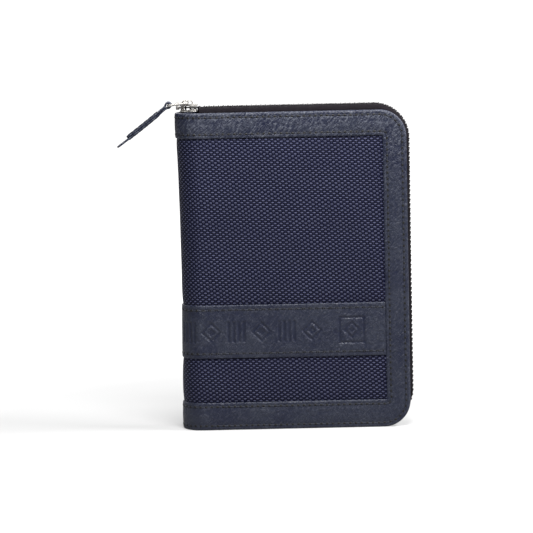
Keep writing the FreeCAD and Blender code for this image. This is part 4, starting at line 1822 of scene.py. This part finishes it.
@dataclass
class Pull:
    """The pull: a wire link through the bridge, and a folded, sewn leather strap on the link."""

    wire: float = 1.0
    corner: float = 1.0
    layer: float = 0.95
    fold: float = 23.5
    droop: float = 39.0
    clearance: float = 0.2
    sag: float = 0.0012
    sag_start: float = -4.0
    stitch: float = 2.9
    stitch_inset: float = 0.85

    def build(self) -> None:
        """Make the link and the strap."""
        low, high = corners("pull_link")
        half = self.wire / 2
        middle = (low[1] + high[1]) / 2
        near = np.array([high[0] - half, high[2] - half])
        far = np.array([low[0] + half, low[2] + half])
        self.make_link(near, far, middle, (high[1] - low[1]) / 2 - half)
        self.make_strap(far, middle)

    def make_link(self, near: Array, far: Array, middle: float, half_width: float) -> None:
        """Bend the wire into a rectangular ring with round corners.

        Args:
            near: X and Z of the end in the bridge.
            far: X and Z of the end that holds the strap.
            middle: Y of the ring's middle.
            half_width: Half the ring's width between wire centres.
        """
        run = float(np.linalg.norm(near - far))
        way = (far - near) / run
        c, w = self.corner, half_width
        track = Track.through(
            (0, 0), (0, w - c), (c, w, c, w - c), (run - c, w), (run, w - c, run - c, w - c), (run, c - w),
            (run - c, -w, run - c, c - w), (c, -w), (0, c - w, c, c - w), (0, 0),
        )
        reach = np.linspace(0.0, track.length, 121)[:-1]
        centre = track.at(reach)
        along = unit(track.at((reach + STEP) % track.length) - centre)
        angles = np.arange(14) * math.tau / 14
        side, up = self.wire / 2 * np.cos(angles), self.wire / 2 * np.sin(angles)
        a = centre[:, :1] + along[:, 1:] * side
        rings = stacked(
            near[0] + way[0] * a - way[1] * up,
            middle + centre[:, 1:] - along[:, :1] * side,
            near[1] + way[1] * a + way[0] * up,
        )
        stand_in(loft("link_wire", rings, endless=True), METAL, 60.0, "pull_link", "pull_link")

    def bow(self, a: Array) -> Array:
        """Say how far the strap is bent off its straight line, by the distance from the wire."""
        return self.sag * np.minimum(a - self.sag_start, 0.0) ** 2

    def strap_line(self, length: float) -> tuple[Array, Array]:
        """Draw the strap's middle line on its own side view, from the tip round the wire and back.

        Args:
            length: From the wire's centre to the tip.

        Returns:
            The points, and each point's direction.
        """
        half = self.layer / 2
        ring = self.wire / 2 + self.clearance + half
        angles = np.radians(np.linspace(-128.0, 128.0, 29))
        eye = stacked(ring * np.cos(angles), ring * np.sin(angles))
        neck = np.array([-4.2, -half - 0.01])

        def bridge(a: Array, b: Array, a_way: Array, b_way: Array) -> Array:
            """Join two points by a smooth curve."""
            t = np.linspace(0.0, 1.0, 12)[1:-1, None]
            pull = np.linalg.norm(b - a)
            return (
                (2 * t**3 - 3 * t**2 + 1) * a + (t**3 - 2 * t**2 + t) * pull * a_way
                + (3 * t**2 - 2 * t**3) * b + (t**3 - t**2) * pull * b_way
            )

        way_in = np.array([-math.sin(angles[0]), math.cos(angles[0])])
        lower = stacked(np.linspace(-length, neck[0], 44), neck[1])
        rise = bridge(neck, eye[0], np.array([1.0, 0.0]), way_in)
        upper = lower[lower[:, 0] > -self.fold][::-1] * (1, -1)
        upper = np.concatenate([upper, [(-self.fold, -neck[1])]])
        points = np.concatenate([lower, rise, eye, rise[::-1] * (1, -1), upper])
        return points, unit(np.gradient(points, axis=0))

    def make_strap(self, pivot: Array, middle: float) -> None:
        """Fold the leather strap round the link and sew its two layers together.

        Args:
            pivot: X and Z of the wire that it hangs on.
            middle: Y of the strap's middle.
        """
        low, high = corners("pull_strap")
        width = (high[1] - low[1]) / 2
        angle = math.radians(self.droop)
        way = np.array([math.cos(angle), math.sin(angle)])
        up = np.array([-way[1], way[0]])
        points, along = self.strap_line((pivot[0] - low[0]) / way[0])
        ends = reach_of(points)
        from_tip = np.minimum(ends, ends[-1] - ends)
        narrow = np.maximum(1.0 - from_tip, 0.0)
        half_width = width - (1.0 - np.sqrt(np.maximum(1.0 - narrow**2, 0.0))) * 0.8
        half = self.layer / 2 * (0.86 + 0.14 * ease(from_tip / 1.2))
        across, thick = blunt(20, 0.28, 0.5)
        thick = thick * half[:, None]
        a = points[:, :1] - along[:, 1:] * thick
        b = points[:, 1:] + along[:, :1] * thick + self.bow(points[:, :1])
        rings = stacked(
            pivot[0] + way[0] * a + up[0] * b,
            middle + across * half_width[:, None],
            pivot[1] + way[1] * a + up[1] * b,
        )
        stand_in(loft("pull_leather", rings), LEATHER, 60.0, "pull_strap", "pull_strap")
        self.sew(pivot, middle, way, up, width - self.stitch_inset)

    def sew(self, pivot: Array, middle: float, way: Array, up: Array, line: float) -> None:
        """Sew the strap along both edges, with stitches on both faces.

        Args:
            pivot: X and Z of the wire.
            middle: Y of the strap's middle.
            way: The strap's direction towards the wire.
            up: The direction out of its upper face.
            line: Distance of a line of stitches from the middle.
        """
        spots = np.arange(1.6 - self.fold, -5.0, self.stitch)
        places = []
        for face, side, a in product((-1, 1), (-1, 1), spots):
            x, z = pivot + way * a + up * (face * (self.layer - 0.04) + self.bow(a))
            out = up * face
            places.append(upright((x, middle + side * line, z), (way[0], 0.0, way[1]), (out[0], 0.0, out[1])))
        piece = repeated("pull_stitching", make_stitch(self.stitch, 0.24), places)
        dress(piece, THREAD)
        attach(piece, "pull_strap")


# ---------------------------------------------------------------------------- studio


@dataclass
class Studio:
    """Floor, light and camera."""

    aim: tuple[float, float, float] = (-12.0, -18.75, 74.4)
    distance: float = 1334.0
    elevation: float = 7.0
    roll: float = -1.25
    lens: float = 200.0
    ambient: float = 0.22
    backdrop: float = 1.1
    lit: tuple[float, float, float] = (0.0, 0.0, 0.07)

    def build(self) -> None:
        """Set the stage."""
        self.make_floor()
        self.make_lights()
        self.make_camera()

    def make_floor(self) -> None:
        """Lay a wide pale floor under the holder."""
        bpy.ops.object.select_all(action="DESELECT")
        bpy.ops.mesh.primitive_plane_add(size=60.0, location=(0.0, 0.0, 0.0))
        floor = bpy.context.object
        floor.name = "floor"
        floor.data.materials.append(PaleFloor().material())

    def make_lights(self) -> None:
        """Light the holder from all round, with a soft key from the upper right."""
        world = bpy.data.worlds.new("studio")
        bpy.context.scene.world = world
        world.use_nodes = True
        tree = world.node_tree
        sky = tree.nodes["Background"]
        sky.inputs["Color"].default_value = WHITE
        path = tree.nodes.new("ShaderNodeLightPath")
        level = tree.nodes.new("ShaderNodeMapRange")
        level.inputs["To Min"].default_value = self.ambient
        level.inputs["To Max"].default_value = self.backdrop
        tree.links.new(path.outputs["Is Camera Ray"], level.inputs["Value"])
        tree.links.new(level.outputs["Result"], sky.inputs["Strength"])
        self.lamp("front", (0.04, -0.22, 0.42), 0.16, 2.1)
        self.lamp("back", (-0.3, 0.55, 0.5), 0.5, 2.5)
        self.lamp("right", (0.55, -0.09, 0.66), 0.28, 8.5)

    def lamp(self, name: str, at: tuple[float, float, float], size: float, power: float) -> None:
        """Hang a square lamp that faces the holder.

        Args:
            name: The lamp's name.
            at: Its place in metres.
            size: Its side in metres.
            power: Its power in watts.
        """
        light = bpy.data.lights.new(name, "AREA")
        light.shape = "SQUARE"
        light.size = size
        light.energy = power
        lamp = bpy.data.objects.new(name, light)
        bpy.context.collection.objects.link(lamp)
        lamp.location = at
        towards = Vector(self.lit) - Vector(at)
        lamp.rotation_euler = towards.to_track_quat("-Z", "Y").to_euler()

    def make_camera(self) -> None:
        """Aim a long lens at the front cover from slightly above."""
        scene = bpy.context.scene
        scene.view_settings.view_transform = "Standard"
        camera = bpy.data.cameras.new("camera")
        camera.lens = self.lens
        camera.sensor_width = 36.0
        camera.clip_start = 0.05
        camera.clip_end = 100.0
        holder = bpy.data.objects.new("camera", camera)
        bpy.context.collection.objects.link(holder)
        lift = math.radians(self.elevation)
        back = Vector((0.0, -math.cos(lift), math.sin(lift)))
        holder.location = (Vector(self.aim) + back * self.distance) * MM
        turn = (-back).to_track_quat("-Z", "Y").to_matrix() @ Matrix.Rotation(math.radians(self.roll), 3, "Z")
        holder.rotation_euler = turn.to_euler()
        scene.camera = holder


def main() -> None:
    """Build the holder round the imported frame, and the studio round the holder."""
    logging.basicConfig(level=logging.INFO, format="%(message)s", force=True)
    layout = Layout.from_frame()
    for node in ("front_board", "back_board"):
        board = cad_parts[node].data
        board.materials.clear()
        board.materials.append(CARD.material())
    Cover(layout, Side.FRONT, motif=Motif()).build()
    Cover(layout, Side.BACK).build()
    for number in range(1, 5):
        Pocket(f"card_pocket_{number}", Side.FRONT, POCKET_LEATHER, Slot.POCKET).build()
    for node in ("slip_pocket", "passport_sleeve"):
        Pocket(node, Side.BACK, LINING, Slot.LINING, cloth=True).build()
    line = ZipLine.from_frame()
    Zip(layout, line).build()
    Slider(line.top).build()
    Pull().build()
    Studio().build()


if __name__ == "__main__":
    main()
